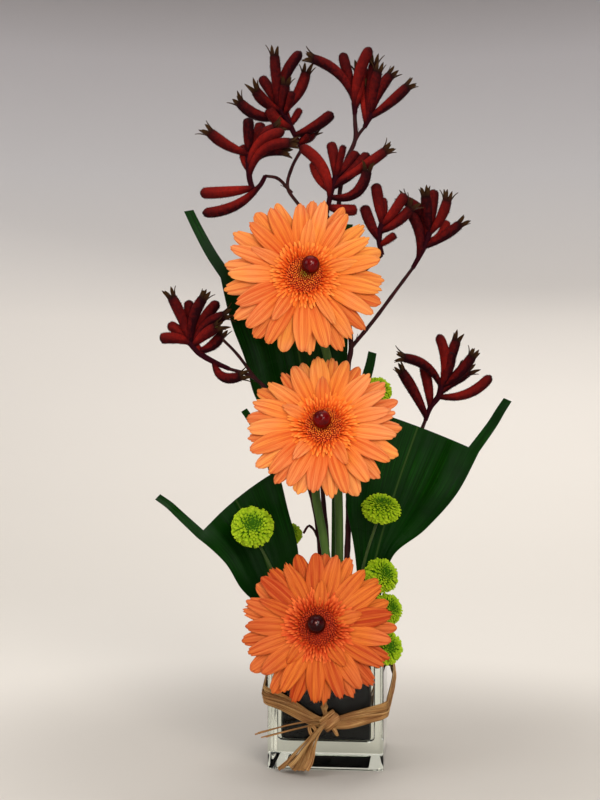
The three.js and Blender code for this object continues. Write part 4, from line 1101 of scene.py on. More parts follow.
def button(number, head):
    """The core and its florets: the share of the ball used up grows evenly from floret to floret."""
    skin = Skin()
    chance = np.random.default_rng(100 + number)
    axes = axes_of(unit(np.array(head["face"], float)))
    core = np.stack(button_surface(np.linspace(math.pi - 0.03, 0.03, 14), head), axis=-1)
    skin.tubes(BUTTON["core"] * turned(core, 20) @ axes + head["at"], along=0.0, middle=0.5)
    count = BUTTON["florets"]
    share = (np.arange(count) + 0.5) / count
    polar = np.arccos(1 - share * (1 - math.cos(math.radians(BUTTON["reach"]))))
    turn = np.arange(count) * GOLDEN + chance.uniform(-0.1, 0.1, count)
    outward = spokes(turn)
    radius, height = button_surface(polar, head)
    surface = outward * radius[:, None] + UP * height[:, None]
    downhill = outward * np.cos(polar)[:, None] - UP * np.sin(polar)[:, None]
    u = np.array([0, 0.4, 0.75, 1.0])[None, :, None]
    reach = chance.uniform(0.92, 1.07, count)[:, None, None]
    bend = head["radius"] * (0.03 + 0.13 * np.clip(polar / 1.2, 0, 1))[:, None, None]
    root = BUTTON["root"]
    path = surface[:, None] * (root + (reach - root) * u) + downhill[:, None] * bend * u**2.5
    section = strap_section(BUTTON["width"] * head["radius"] * np.array(BUTTON["widths"]), 0.2, 6, -0.5)
    grid = sweep(path, np.cross(UP, outward)[:, None], section)
    middle = 1 - np.clip(polar / 0.6, 0, 1)[:, None, None]
    tint = chance.uniform(0, 1, (count, 1, 1))
    skin.tubes(grid @ axes + head["at"], along=u, middle=middle, tint=tint)
    name = "button_%d" % number
    skin.piece(name, LIME, [name + "_head"], sharp=60)
    stalk = Skin()
    path = smooth_path([*head["stem"], cut_end(head["stem"])], 40)
    # The dark mark paints the button stalk a darker green, as painted shade.
    stalk.tubes(sweep(path, RIGHT, round_section(BUTTON["stem"], 12, 5, 0.06)), dark=0.85)
    stalk.piece(name + "_stalk", STALK, [name + "_stem"], sharp=60)


LIME = Finish("lime_floret", Roughness=0.55, Specular_IOR_Level=0.06)
along = LIME.mark("along")
tint = LIME.mark("tint")
body = along.ramp((0.0, tone(58, 100, 2)), (0.5, tone(98, 142, 4)), (1.0, tone(146, 176, 22)))
fresh = along.ramp((0.0, tone(70, 112, 2)), (0.5, tone(118, 156, 8)), (1.0, tone(172, 194, 36)))
heart = along.ramp((0.0, tone(28, 66, 2)), (0.5, tone(52, 104, 4)), (1.0, tone(92, 136, 14)))
grain = LIME.noise(LIME.place(), 700.0, 2.0)
LIME.paint(Base_Color=LIME.mark("middle").mix(tint.mix(body, fresh), heart), Roughness=0.45 + grain * 0.25)
LIME.bump(grain, 0.05)

for number, head in enumerate(BUTTONS, 1):
    button(number, head)

# %% [markdown]
# ## Kangaroo paws
#
# A kangaroo paw carries its flowers in sprays. Each flower is a furry bowed tube like a finger, shut
# and rounded at first, and later split at the tip into six pointed claws round its stamens. The felt of
# short hairs is what makes them look like velvet, so it is modelled: over five hundred points on each.

# %% Paw stems
# The radius at the foot and at the end of each branch, and its points from the foam up
PAW_STEMS = {
    "tall": [
        ([2.3, 1.5], [
            [9.5, 10.5, 54], [9.5, 10.5, 82], [14, 14, 163], [14, 14, 279], [16, 14, 292], [12, 16, 327],
            [9, 16, 354], [7, 15, 381], [8, 15, 406], [13, 18, 429], [19, 20, 443], [19, 22, 462],
        ]),
        ([1.5, 1.2], [[16, 14, 292], [31, 13, 310], [49, 15, 334], [61, 18, 350]]),
        ([1.3, 1.1], [[10.5, 16, 338], [24, 10, 346], [38, 4, 358]]),
        ([1.3, 1.2], [[7, 15, 372], [2, 9, 380], [-2, 3, 387]]),
        ([1.4, 1.1], [[19, 20, 443], [22, 21, 448], [26, 22, 453]]),
    ],
    "left": [
        ([1.9, 1.2], [
            [-8, 23, 54], [-8, 23, 82], [-1.4, 24, 144], [-4.4, 24, 188], [-5.5, 23, 232], [-12, 22, 305],
            [-17, 22, 364], [-19, 22, 391], [-30, 22, 409], [-27, 25, 424], [-20, 29, 438],
        ]),
        ([1.3, 1.1], [[-27, 22, 405], [-37, 18, 415], [-46, 12, 416]]),
    ],
    "low": [
        ([1.7, 1.2], [
            [-9, 3, 54], [-9, 3, 82], [-7.4, 2, 112], [-7, 2, 147], [-13, 0, 186], [-28, -3, 226],
            [-45, -6, 262], [-58, -8, 272], [-71, -8, 276],
        ]),
        ([0.9, 0.8], [[-8.5, 1.5, 156], [-11.5, -1, 162], [-14.6, -2, 164.5], [-18.6, -3, 159]]),
        ([1.2, 1.0], [[-45, -6, 262], [-53, -7, 270], [-66, -8, 287], [-79, -8, 300]]),
    ],
    "right": [
        ([1.7, 1.3], [
            [24, 23, 54], [24, 23, 82], [28, 24, 100], [40, 26, 150], [56, 27, 200], [71, 28, 239],
        ]),
    ],
}
PAW_STEM = {"step": 2.5, "sides": 14, "knot_gap": 31, "knot": 0.1, "hairs_per_mm": 3, "bract": 6}


# %% Build a paw stem
def paw_stem(name, branches, chance):
    """Branches as tubes that swell a little every so often, a bract at each fork, and short hairs."""
    skin = Skin()
    for radii, points in branches:
        length = np.linalg.norm(np.diff(points, axis=0), axis=1).sum()
        rows = int(length / PAW_STEM["step"]) + 4
        path = smooth_path(points, rows)
        share = np.linspace(0, 1, rows)
        knots = 1 + PAW_STEM["knot"] * np.cos(2 * math.pi * share * length / PAW_STEM["knot_gap"]) ** 8
        radius = (radii[0] + (radii[1] - radii[0]) * share) * knots
        stalk = sweep(path, BACK, round_section(radius, PAW_STEM["sides"], 5, 0.03))
        skin.tubes(stalk, hair=0.0)
        hairs(skin, stalk, path, int(length * PAW_STEM["hairs_per_mm"]), "paw_stem", chance, hair=1.0)
        u = np.linspace(0, 1, 7)[:, None]
        way = unit(path[3] - path[1])
        below = unit(np.cross(way, BACK))
        bract = path[2] + below * (radii[0] - 0.3 + 1.6 * u**2) + way * PAW_STEM["bract"] * u
        section = strap_section(1.1 * np.sin(math.pi * (0.25 + 0.72 * u[:, 0])), 0.2, 6, -0.2)
        skin.tubes(sweep(bract, BACK, section), hair=0.3)
    skin.piece("stalk_" + name, BARK, ["paw_stem_" + name], sharp=60)


BARK = Finish("paw_stalk", Roughness=0.6, Specular_IOR_Level=0.1, Sheen_Weight=0.03)
streak = BARK.noise(BARK.place(500, 500, 40), 1.0, 3.0)
patch = BARK.noise(BARK.place(), 60.0, 2.0)
brown = streak.ramp((0.3, tone(28, 7, 11)), (0.7, tone(58, 16, 18)))
olive = patch.between(0.5, 0.75).mix(brown, tone(52, 28, 20))
BARK.paint(Base_Color=BARK.mark("hair").mix(olive, tone(66, 17, 21)), Roughness=0.5 + streak * 0.3)
BARK.bump(streak, 0.12)

chance = np.random.default_rng(61)
for name, branches in PAW_STEMS.items():
    paw_stem(name, branches, chance)

# %% Paw flowers as they stand
# The root on the stem, the axis as offsets from it, and a row for each flower: place along the axis,
# offset of the tip (right, back, up), sideways bow of its middle, and its kind
BUD, SHUT, OPEN = 0, 1, 2
PAW_HEADS = {
    "crown": ([-20, 29, 438], [[-4, 0, 9], [-10, 1, 21], [-17, 2, 31]], [
        [1, -20, -6, 73, 0, OPEN], [0.95, 0, 4, 73, -5, SHUT], [0.9, 6, 10, 62, 3, OPEN],
        [1, -30, 12, 56, 1, SHUT], [0.92, -37, -10, 44, -2, OPEN], [0.8, -50, 3, 36, -5, OPEN],
        [0.8, -7, -9, 41, 1, BUD], [0.55, -1, 12, 32, 0, BUD], [0.33, 23, -6, 26, 2, SHUT],
        [0.18, 12, 9, 16, 1, OPEN], [0.6, -22, 17, 40, 2, SHUT], [0.9, -11, -3, 52, 0, OPEN],
        [0.5, -24, -4, 30, -3, SHUT], [0.1, 6, -4, 10, 0, BUD],
    ]),
    "peak": ([19, 22, 462], [[0, 0, 4], [0, 0, 9]], [
        [1, -34, -4, 44, 6, OPEN], [1, -9, 6, 47, 0, SHUT], [0.7, 11, -10, 47, -3, SHUT],
        [0.5, 4, 14, 40, 2, OPEN], [0.6, 4, -2, 34, 1, SHUT],
    ]),
    "side": ([26, 22, 453], [[2, 0, 4], [5, 0, 10]], [
        [0.3, 1, 6, 45, -1, SHUT], [0.6, 7, -4, 50, 0, OPEN], [0.4, 4, 0, 34, 1, OPEN],
        [1, 10, -8, 44, -1, OPEN], [0.9, 21, 10, 44, -2, OPEN], [0.7, 35, -3, 32, 1, OPEN],
    ]),
    "west": ([-46, 12, 416], [[-4, 0, -7], [-8, 0, -10], [-11, 0, -4], [-12, 0, 6], [-12, 0, 16]], [
        [1, -44, -8, 32, -2, OPEN], [1, -12, -10, 40, 0, SHUT], [0.95, -4, 8, 40, 2, SHUT],
        [0.9, 10, -4, 38, -4, OPEN], [0.6, 22, -12, 25, -8, OPEN], [0.7, -16, 14, 24, -1, SHUT],
        [0.38, -47, -4, -13, -1, SHUT], [0.25, -45, -9, -28, -5, SHUT], [0.75, 14, -10, 30, -7, SHUT],
        [0.7, 17, -4, 20, -6, OPEN], [0.85, 0, -2, 34, -2, SHUT],
    ]),
    "centre": ([-2, 3, 387], [[2, -1, 10], [4, -1, 19], [7, -1, 27]], [
        [0.45, -19, -4, 48, 6, SHUT], [0.95, 3, 8, 53, 1, SHUT], [1, 12, -9, 48, 0, BUD],
        [1, 22, 8, 46, 1, SHUT], [0.8, 46, -5, 47, 1, OPEN], [0.45, 33, -9, 32, 8, OPEN],
        [0.2, 22, 6, 4, 1, SHUT], [0.6, -9, 17, 40, -2, SHUT], [0.7, 30, 0, 44, 2, SHUT],
    ]),
    "inner": ([38, 4, 358], [[-2, 0, 8], [-2, 0, 16], [0, 0, 22]], [
        [1, -5, -3, 51, 0, SHUT], [1, 1, 9, 42, 1, BUD], [0.95, 16, -7, 43, 1, SHUT],
        [0.75, 24, -4, 36, 2, OPEN], [0.5, -13, 3, 36, -1, SHUT], [0.3, 9, -6, 14, 0, BUD],
    ]),
    "east": ([61, 18, 350], [[5, 0, 9], [9, 0, 17], [12, 0, 26]], [
        [0.3, -2, -1, 40, 4, SHUT], [0.7, -6, 5, 54, 7, OPEN], [1, 8, -8, 56, 0, OPEN],
        [1, 16, 7, 58, 0, SHUT], [0.95, 27, -5, 53, 2, OPEN], [0.75, 25, 12, 36, 5, SHUT],
        [0.6, 38, -3, 34, 1, OPEN],
    ]),
    "low": ([-71, -8, 276], [[-11, 0, 5], [-21, 0, 11], [-28, 0, 19]], [
        [1, -42, -7, 55, 1, OPEN], [0.98, -29, 3, 49, 0, SHUT], [0.95, -17, -11, 54, -3, OPEN],
        [0.9, 0, -6, 41, -4, OPEN], [0.75, -2, 2, 26, 2, OPEN], [0.97, -49, -4, 21, 2, SHUT],
        [0.35, 12, -9, -8, 6, OPEN], [0.6, -44, 5, 32, 2, SHUT], [0.9, -5, -9, 32, -1, OPEN],
        [0.95, -8, 5, 48, -2, SHUT],
    ]),
    "right": ([71, 28, 239], [[4, 0, 10], [10, 0, 18], [12, 0, 26]], [
        [0.08, -20, -5, 40, 1, OPEN], [0.35, -1, 7, 41, 1, SHUT], [0.95, -20, -9, 49, 5, OPEN],
        [0.98, 9, -4, 63, 4, SHUT], [1, 25, 8, 63, 0, OPEN], [0.95, 37, -7, 50, 2, OPEN],
        [0.85, 36, 9, 38, 0, OPEN], [0.7, 48, -2, 33, 6, SHUT], [0.9, 19, -3, 50, 1, SHUT],
        [0.8, 30, 3, 41, 1, OPEN],
    ]),
}
PAW = {
    "axis": [1.6, 2.6],
    "axis_rows": 41,
    "axis_hairs": 150,
    "radius": {BUD: 2.6, SHUT: 3.85, OPEN: 3.95},
    "tints": {BUD: [0.6, 1], SHUT: [0.15, 1], OPEN: [0, 0.75]},
    "stations": [0, 0.4, 0.82, 1],
    "shut": [0.5, 0.92, 1.02, 0.92],
    "open": [0.45, 0.82, 1, 0.9],
    "rows": 24,
    "hollow": 7,  # rows of the inside of an open mouth
    "cut": 5.5,  # how far before its tip an open flower ends and its claws start
    "hairs": 560,
    # the way from which the painted light on the fingers comes
    "sunny": [-0.3, -0.2, 0.93],
}

# %% Build one paw flower
CLAW = {"count": 6, "length": (6.5, 9.5), "spread": (0.0, 0.6), "half": 2.0, "thick": 0.26}
STAMEN = {"count": 6, "length": (4, 6.5), "radii": [0.2, 0.18, 0.17, 0.16, 0.36, 0.42, 0.12]}


def finger_path(start, tip, bow):
    """The middle line: the parabola that leaves the chord sideways by the bow, halfway along."""
    chord = tip - start
    side = unit(np.array([chord[2], 0, -chord[0]]))
    middle = (start + tip) / 2 + 2 * bow * side
    t = np.linspace(0, 1, PAW["rows"])[:, None] ** 0.85
    return start * (1 - t) ** 2 + middle * 2 * t * (1 - t) + tip * t**2, t[:, 0]


def finger(skin, start, tip, bow, kind, chance):
    """One flower: a softly six-ribbed tube with a round end, or one that is hollow at its open end."""
    if kind == OPEN:
        tip = tip - PAW["cut"] * unit(tip - start)
    path, t = finger_path(start, tip, bow)
    tint = chance.uniform(*PAW["tints"][kind])
    shares = PAW["open"] if kind == OPEN else PAW["shut"]
    radius = PAW["radius"][kind] * smooth_values(t, PAW["stations"], shares) * chance.uniform(0.94, 1.06)
    if kind != OPEN:
        radius = radius * np.sqrt(np.clip(1 - (np.clip(t - 0.9, 0, 1) / 0.102) ** 2, 0, 1))
    grid = sweep(path, BACK, round_section(radius, 18, 6, 0.06))
    hairs(skin, grid, path, PAW["hairs"], "paw_flower", chance, hair=1.0, tint=tint)
    # Painted light: how far each point faces up, a little to the left and to the front, which paints the
    # upper side brighter and the lower side darker.
    sunny = unit(grid - path[:, None]) @ PAW["sunny"] * 0.5 + 0.5
    if kind != OPEN:
        skin.tubes(grid, along=t[:, None], sunny=sunny, tint=tint)
        return
    deep = PAW["hollow"]
    middle = path[-deep:, None]
    inside = middle + (grid[-deep:] - middle) * np.linspace(0.45, 0.84, deep)[:, None, None]
    along = np.concatenate([t, t[-deep:]])[:, None]
    hollow = (np.arange(len(t) + deep) > len(t))[:, None]
    sunny = np.vstack([sunny, sunny[:-deep - 1:-1]])
    skin.tubes(np.vstack([grid, inside[::-1]]), along=along, inside=hollow, sunny=sunny, tint=tint)
    claws(skin, path, grid, tint, chance)
    stamens(skin, path, tint, chance)


def claws(skin, path, grid, tint, chance):
    """The six points round the mouth: straps that run on from its rim and open outwards to a tip."""
    way = unit(path[-1] - path[-2])
    rim = grid[-1, 1::grid.shape[1] // CLAW["count"]]
    out = unit(rim - path[-1])
    u = np.linspace(0, 1, 7)
    length = chance.uniform(*CLAW["length"], (CLAW["count"], 1, 1))
    spread = chance.uniform(*CLAW["spread"], (CLAW["count"], 1, 1))
    line = rim[:, None] - out[:, None] * 0.25 + (u[:, None] - 0.12) * length * way
    line = line + out[:, None] * length * spread * u[:, None] ** 1.8
    half = CLAW["half"] * (1 - u**2.4) ** 0.8 + 0.08
    grid = sweep(line, np.cross(way, out)[:, None], strap_section(half, CLAW["thick"], 6, 0.35))
    skin.tubes(grid, along=1.0, claw=u[:, None], tint=tint)


def stamens(skin, path, tint, chance):
    """Six fine threads out of the mouth, each with a swollen end."""
    way = unit(path[-1] - path[-2])
    one = unit(np.cross(way, [0, 1, 0.2]))
    two = np.cross(way, one)
    count = STAMEN["count"]
    turn = 2 * math.pi * np.arange(count) / count + chance.uniform(0, 1)
    out = one * np.cos(turn)[:, None] + two * np.sin(turn)[:, None]
    u = np.linspace(0, 1, len(STAMEN["radii"]))[None, :, None]
    length = chance.uniform(*STAMEN["length"], (count, 1, 1))
    line = path[-4] + out[:, None] * (1.1 + 0.9 * u) + way * length * u
    skin.tubes(sweep(line, UP, round_section(STAMEN["radii"], 5)), thread=0.2 + 0.8 * u, tint=tint)


# %% Build a head of paw flowers
def paw_head(name, head, chance):
    """The furry axis of a spray and all its flowers."""
    skin = Skin()
    root, offsets, flowers = head
    base = np.array(root, float)
    rows = PAW["axis_rows"]
    line = smooth_path([base, *(base + np.array(offsets))], rows)
    rachis = sweep(line, BACK, round_section(np.linspace(*PAW["axis"], rows), 12))
    skin.tubes(rachis, dark=1.0)
    hairs(skin, rachis, line, PAW["axis_hairs"], "paw_axis", chance, hair=1.0)
    for place, right, back, up, bow, kind in flowers:
        finger(skin, line[round(place * (rows - 1))], base + [right, back, up], bow, kind, chance)
    skin.piece("paws_" + name, VELVET, ["paw_head_" + name], sharp=60)


# %% [markdown]
# Under the hairs the tube is a deep red, brightest along its middle, with painted light on the side that
# faces up and painted shade that makes it nearly black below, and brown at the claws. The hairs are darker
# and purplish, so the outline of each finger reads darker, as velvet does.

# %% Velvet finish
VELVET = Finish("paw_velvet", Roughness=0.8, Specular_IOR_Level=0.05)
along = VELVET.mark("along")
tint = VELVET.mark("tint")
grain = VELVET.noise(VELVET.place(), 420.0, 3.0)
PLACES = [0.0, 0.3, 0.9, 1.0]
DEEP = [tone(26, 1, 6), tone(34, 2, 7), tone(30, 3, 7), tone(28, 5, 9)]
WARM = [tone(52, 4, 7), tone(146, 28, 19), tone(116, 22, 16), tone(70, 16, 13)]
deep, warm = [along.ramp(*zip(PLACES, colours)) for colours in (DEEP, WARM)]
# Painted light and shade: the side of each finger that faces up is painted bright red, and the underside
# nearly black.
sunny = VELVET.mark("sunny").between(0.2, 0.9)
tube = (grain.between(0.35, 0.7) * 0.2 + tint * tint * 0.6 + sunny * 0.5 - 0.2).mix(deep, warm)
furry = VELVET.mark("hair").mix(tube, tone(40, 3, 14))
clawed = VELVET.mark("claw").between(0.0, 0.8).mix(furry, tone(58, 38, 18))
lined = VELVET.mark("inside").mix(clawed, tone(84, 88, 36))
stalk = VELVET.mark("dark").mix(lined, tone(40, 3, 12))
thread = VELVET.mark("thread")
pollen = thread.between(0.6, 0.8).mix(tone(120, 128, 52), tone(70, 42, 24))
VELVET.paint(Base_Color=thread.between(0.05, 0.15).mix(stalk, pollen), Roughness=0.6 + grain * 0.3)
VELVET.bump(grain, 0.15)

chance = np.random.default_rng(77)
for name, head in PAW_HEADS.items():
    paw_head(name, head, chance)

# %% [markdown]
# ## The glass cube
#
# The vase is one thick pressed glass cube: upright walls, a heavy clear base, and every edge rounded.
# It is one closed surface, swept through rounded squares: up the outside, over the rim, down the inside
# and across the inner floor. A cube with bevels and a cut hollow would need more repair work, and glass
# shows every fault in its bends.

# %% Rounded squares
# Half width, height, corner and edge radius, turn in degrees, then the hollow, and the groove underneath
# between two half widths, with its depth
VASE = {
    "half": 40, "height": 80, "corner": 3, "edge": 1, "turn": -5.5,
    "wall": 6, "floor": 18.5, "hollow_corner": 7, "hollow_edge": 3.5, "groove": [29, 36], "lift": 0.7,
}
VASE_TURN = turned_round(VASE["turn"])


def square_round(reach, radius, count):
    """Even steps round a square with round corners, from the middle of its front, counter-clockwise.

    The corners are quarter circles. Between them the way outwards stays the same. Returns the places
    and the ways outwards.
    """
    turn = np.concatenate([np.linspace(-90, 0, 12) + 90 * k for k in range(4)] + [[270]])
    turn = np.radians(turn)
    corner = np.repeat([0, 1, 2, 3], 12) * math.pi / 2 - math.pi / 4
    centre = (reach - radius) * math.sqrt(2) * spokes(corner)
    place = np.vstack([centre, centre[:1]]) + radius * spokes(turn)
    gone = length_gone(place)
    at = (np.arange(count) / count * gone[-1] + gone[-1] - (reach - radius)) % gone[-1]
    x, y, z, turn = [np.interp(at, gone, values) for values in [*place.T, turn]]
    return np.stack([x, y, z], axis=-1), spokes(turn)


def stations(steps, count):
    """Rounded squares one over another, from steps of half width, corner radius and height."""
    rings = [square_round(half, radius, count)[0] + [0, 0, height] for half, radius, height in steps]
    return np.array(rings) @ VASE_TURN


def quarter(half, corner, height, edge, start, end, count=6):
    """Steps round an edge: a quarter circle of half widths and heights, between two angles in degrees."""
    angle = np.radians(np.linspace(start, end, count))
    out = half - edge + edge * np.cos(angle)
    return [(o, corner - edge + edge * math.cos(a), height + edge * math.sin(a)) for o, a in zip(out, angle)]


# %% Vase
def glass_vase():
    """The glass, from the middle of its underside round to the middle of its inner floor."""
    skin = Skin()
    half, corner, edge, height = VASE["half"], VASE["corner"], VASE["edge"], VASE["height"]
    inner, inner_corner, low = half - VASE["wall"], VASE["hollow_corner"], VASE["floor"]
    bend = VASE["hollow_edge"]
    (first, last), lift = VASE["groove"], VASE["lift"]
    steps = [(1, 0.5, 0), (first, 2, 0), (first + 0.5, 2, lift), (last, 3, lift), (last + 0.5, 3, 0)]
    steps += quarter(half, corner, edge, edge, -90, 0)
    steps += quarter(half, corner, height - edge, edge, 0, 90)
    for a in np.linspace(0, math.pi / 2, 5):
        out = edge * (1 - math.sin(a))
        steps.append((inner + out, inner_corner + out, height - edge + edge * math.cos(a)))
    steps += quarter(inner, inner_corner, low + bend, bend, 0, -90)
    steps += [(1, 0.5, low)]
    skin.tubes(stations(steps, 240))
    skin.piece("vase", GLASS, ["glass_vase"], sharp=40)


GLASS = Finish(
    "clear_glass",
    Base_Color=tone(246, 252, 240),
    Specular_Tint=tone(150, 150, 154),
    Transmission_Weight=1.0,
    IOR=1.5,
)
ripple = GLASS.noise(GLASS.place(), 26.0, 2.0)
GLASS.paint(Roughness=0.01 + ripple * 0.02)
GLASS.bump(ripple, 0.06)
glass_vase()

# %% [markdown]
# The hollow is lined with a thin black film, and a block of wet foam in it holds every stem. A single
# sheet with a solidify modifier would do for the film, but sharp creases make such a sheet cut into
# itself. Here it is one more closed sweep, a little crinkled. Hardly anything shows of the foam, so it
# keeps its measured solid and only gets a finish with pores.

# %% Black liner
LINER = {"gap": 0.3, "thick": 0.55, "top": 78.5, "points": 200, "crinkle": 0.1}


def liner():
    """A thin black film that lines the hollow, a little crinkled."""
    skin = Skin()
    half = VASE["half"] - VASE["wall"] - LINER["gap"]
    corner, low, bend = VASE["hollow_corner"], VASE["floor"] + LINER["gap"], VASE["hollow_edge"]
    steps = [(1, 0.5, low)]
    steps += quarter(half, corner, low + bend, bend, -90, 0, 8)
    steps += [(half, corner, z) for z in np.linspace(low + bend + 2, LINER["top"], 24)]
    outer = stations(steps, LINER["points"])
    turn = np.linspace(0, 2 * math.pi, LINER["points"], endpoint=False)
    level = outer[..., 2]
    wave = LINER["crinkle"] * (np.sin(19 * turn + level / 9) * np.sin(7 * turn - level / 5) - 1)
    away = unit(outer - outer * UP)
    outer = outer + away * wave[..., None]
    inner = outer + LINER["thick"] * (UP * (outer[..., 2:] < low + 1) - away)
    skin.tubes(np.vstack([outer, inner[::-1]]))
    skin.piece("liner_film", FILM, ["liner"], sharp=50)


FILM = Finish("black_film", Roughness=0.5, Specular_IOR_Level=0.08)
crease = FILM.noise(FILM.place(1, 1, 0.5), 60.0, 4.0)
FILM.paint(Base_Color=crease.ramp((0.3, tone(2, 2, 2)), (0.7, tone(7, 7, 8))), Roughness=0.4 + crease * 0.2)
FILM.bump(crease, 0.5)
liner()

# %% Flower foam
FOAM = Finish("flower_foam", Roughness=0.95, Specular_IOR_Level=0.1)
pore = FOAM.cells(FOAM.place(), 900.0)
soft = FOAM.noise(FOAM.place(), 140.0, 3.0)
grain = (pore * 0.6 + soft * 0.6).at_most(1.0)
FOAM.paint(Base_Color=grain.ramp((0.2, tone(16, 34, 20)), (0.8, tone(44, 78, 46))))
FOAM.bump(pore, 0.5)
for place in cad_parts["flower_foam"].material_slots:
    place.material = FOAM.material
print("foam finished")

# %% [markdown]
# ## Raffia tie
#
# Raffia is the skin of palm leaves torn into strips. It folds and ripples lengthwise, and a bundle of
# strips round the vase looks partly like a rope and partly like flat ribbon. Each strip is a rippled flat
# section carried round the rounded square, at its own height, looseness and twist. The knot is a lump of
# folds with three turns round it, and most of the loose ends are several torn strips that fan out.

# %% Band of strips
# Heights and looseness stand at even shares of the way round, from the knot to the right
TIE = {
    "clearance": 1.9,
    "heights": [33.5, 42, 56, 64, 67, 64, 58, 50],
    "looseness": [0, 0.3, 4, 1, 0, 0.4, 1.6, 0.6],
    "gather": 0.45,  # share by which the band narrows at the knot
    "sides": 16,
}
# Each strip: how far above the middle of the band, how far out, half width, half thickness, twist
STRIPS = [
    (-4.0, -0.2, 1.8, 0.4, 0.15), (-2.0, -0.5, 2.1, 0.4, -0.15), (0.2, -0.4, 2.1, 0.42, 0.2),
    (2.4, -0.3, 1.9, 0.42, 0.3), (4.4, 0.1, 1.3, 0.42, 0.5), (-5.1, 0.3, 0.9, 0.42, -0.5),
    (1.2, 0.6, 1.2, 0.45, 0.8), (-1.2, 0.7, 1.0, 0.45, -0.9), (3.4, 0.7, 0.7, 0.4, 0.9),
]
AROUND = 280


def round_value(values, share):
    """A smooth line through values at even shares of the way round, closed on itself."""
    count = len(values)
    return smooth_values(share * count, np.arange(-2, count + 3), [*values[-2:], *values, *values[:3]])


def rippled(half, thick, roll, sides, ripples, phase):
    """Rings of a flat section with lengthwise ripples, turned by a roll angle."""
    angle = ring_angles(sides)
    w = np.cos(angle)
    across = np.asarray(half)[..., None] * w
    up = thick * (np.sin(angle) + 0.5 * np.sin(ripples * w + phase[..., None]) * (1 - w**4))
    cosine, sine = np.cos(roll)[..., None], np.sin(roll)[..., None]
    return np.stack([across * cosine - up * sine, across * sine + up * cosine], axis=-1)


def strip_round(rise, out, half, thick, twist, chance):
    """One strip of the band, as a closed loop."""
    share = np.arange(AROUND) / AROUND
    wander = chance.uniform(0, 2 * math.pi, 4)
    full = 2 * math.pi * share
    clear = TIE["clearance"]
    place, outward = square_round(VASE["half"] + clear, VASE["corner"] + clear, AROUND)
    angular = (np.arctan2(place[:, 0], -place[:, 1]) / (2 * math.pi)) % 1
    gather = 1 - TIE["gather"] * bell(np.minimum(angular, 1 - angular), 0, 0.05)
    slack = round_value(TIE["looseness"], angular) + out + 0.25 * np.sin(5 * full + wander[0])
    height = round_value(TIE["heights"], angular) + gather * (rise + 1.1 * np.sin(3 * full + wander[1]))
    path = place + outward * slack[:, None] + UP * height[:, None]
    roll = twist * np.sin(4 * full + wander[2]) + 0.12 * np.sin(9 * full + wander[3])
    width = half * (1 + 0.15 * np.sin(7 * full + wander[3])) * gather
    section = rippled(width, thick, roll, TIE["sides"], 7.0, wander[0] + 2 * full)
    return looped(path, UP, section), share


def looped(path, side, section):
    """Carries a section round a closed path: the ends are repeated first, so that they meet smoothly."""
    rows = [-1, *range(len(path)), 0]
    return sweep(path[rows], side, section[rows])[1:-1]


# %% Knot and loose ends
KNOT = {"at": [3.5, 2, 35], "size": [7, 3.2, 6.2], "lean": -35, "half": 2.2, "thick": 0.5}
KNOT_TURNS = [(-0.5, 0.2), (0.0, -0.15), (0.48, 0.1)]  # height as a share of the size, and tilt
KNOT_ROWS = 60
KNOT_SIDES = 14
EYE = {"at": [-8.0, 2.6, 28.0], "radius": 4.0, "stretch": 0.5, "lean": -25, "half": 1.3, "thick": 0.5}
# Loose ends: how many strips, the half widths at the start and end, and right, out from the front, up
LOOSE_ENDS = [
    (5, [2.8, 10.0], [[1, 3.5, 35], [-6, 5, 27], [-14, 8, 18], [-22, 12, 8.5], [-29.5, 15, 2.2]]),
    (4, [2.6, 8.0], [[1, 4, 34], [-5, 6, 27], [-10, 9.5, 17], [-14, 16, 7.5], [-18, 20.5, 2.2]]),
    (2, [1.6, 1.2], [[-1.5, 1.5, 34], [-24, 5, 29], [-45, 8, 23]]),
    (2, [1.5, 1.1], [[-1.5, 1.5, 36], [-25, 4, 32], [-47.5, 6.5, 26]]),
    (3, [3.0, 2.5], [[1.5, 1, 37], [-0.5, 2, 44], [0.5, 2.6, 50]]),
    (1, [1.3, 0.9], [[4.5, 3, 33], [7.5, 5, 29], [9.5, 7, 26]]),
]
END_ROWS = 44
END_SIDES = 12
END_THICK = 0.34
FRONT = -VASE["half"] - TIE["clearance"]


def in_front(points):
    """Points given as right, out from the front of the band and up, in the vase's own frame."""
    return np.asarray(points, float) * [1, -1, 1] + [0, FRONT, 0]


def leaned(points, angle):
    """Points turned about the axis that goes back, by an angle in degrees."""
    c, s = math.cos(math.radians(angle)), math.sin(math.radians(angle))
    return points @ np.array([[c, 0, -s], [0, 1, 0], [s, 0, c]])


def strand(skin, grid, along, chance, closed=False):
    """Adds one strip from the vase's own frame, with the marks that its finish reads."""
    across = np.cos(ring_angles(grid.shape[1]))
    marks = {"along": along[:, None], "across": across, "tint": chance.uniform(0, 1)}
    skin.tubes(grid @ VASE_TURN, closed=closed, **marks)


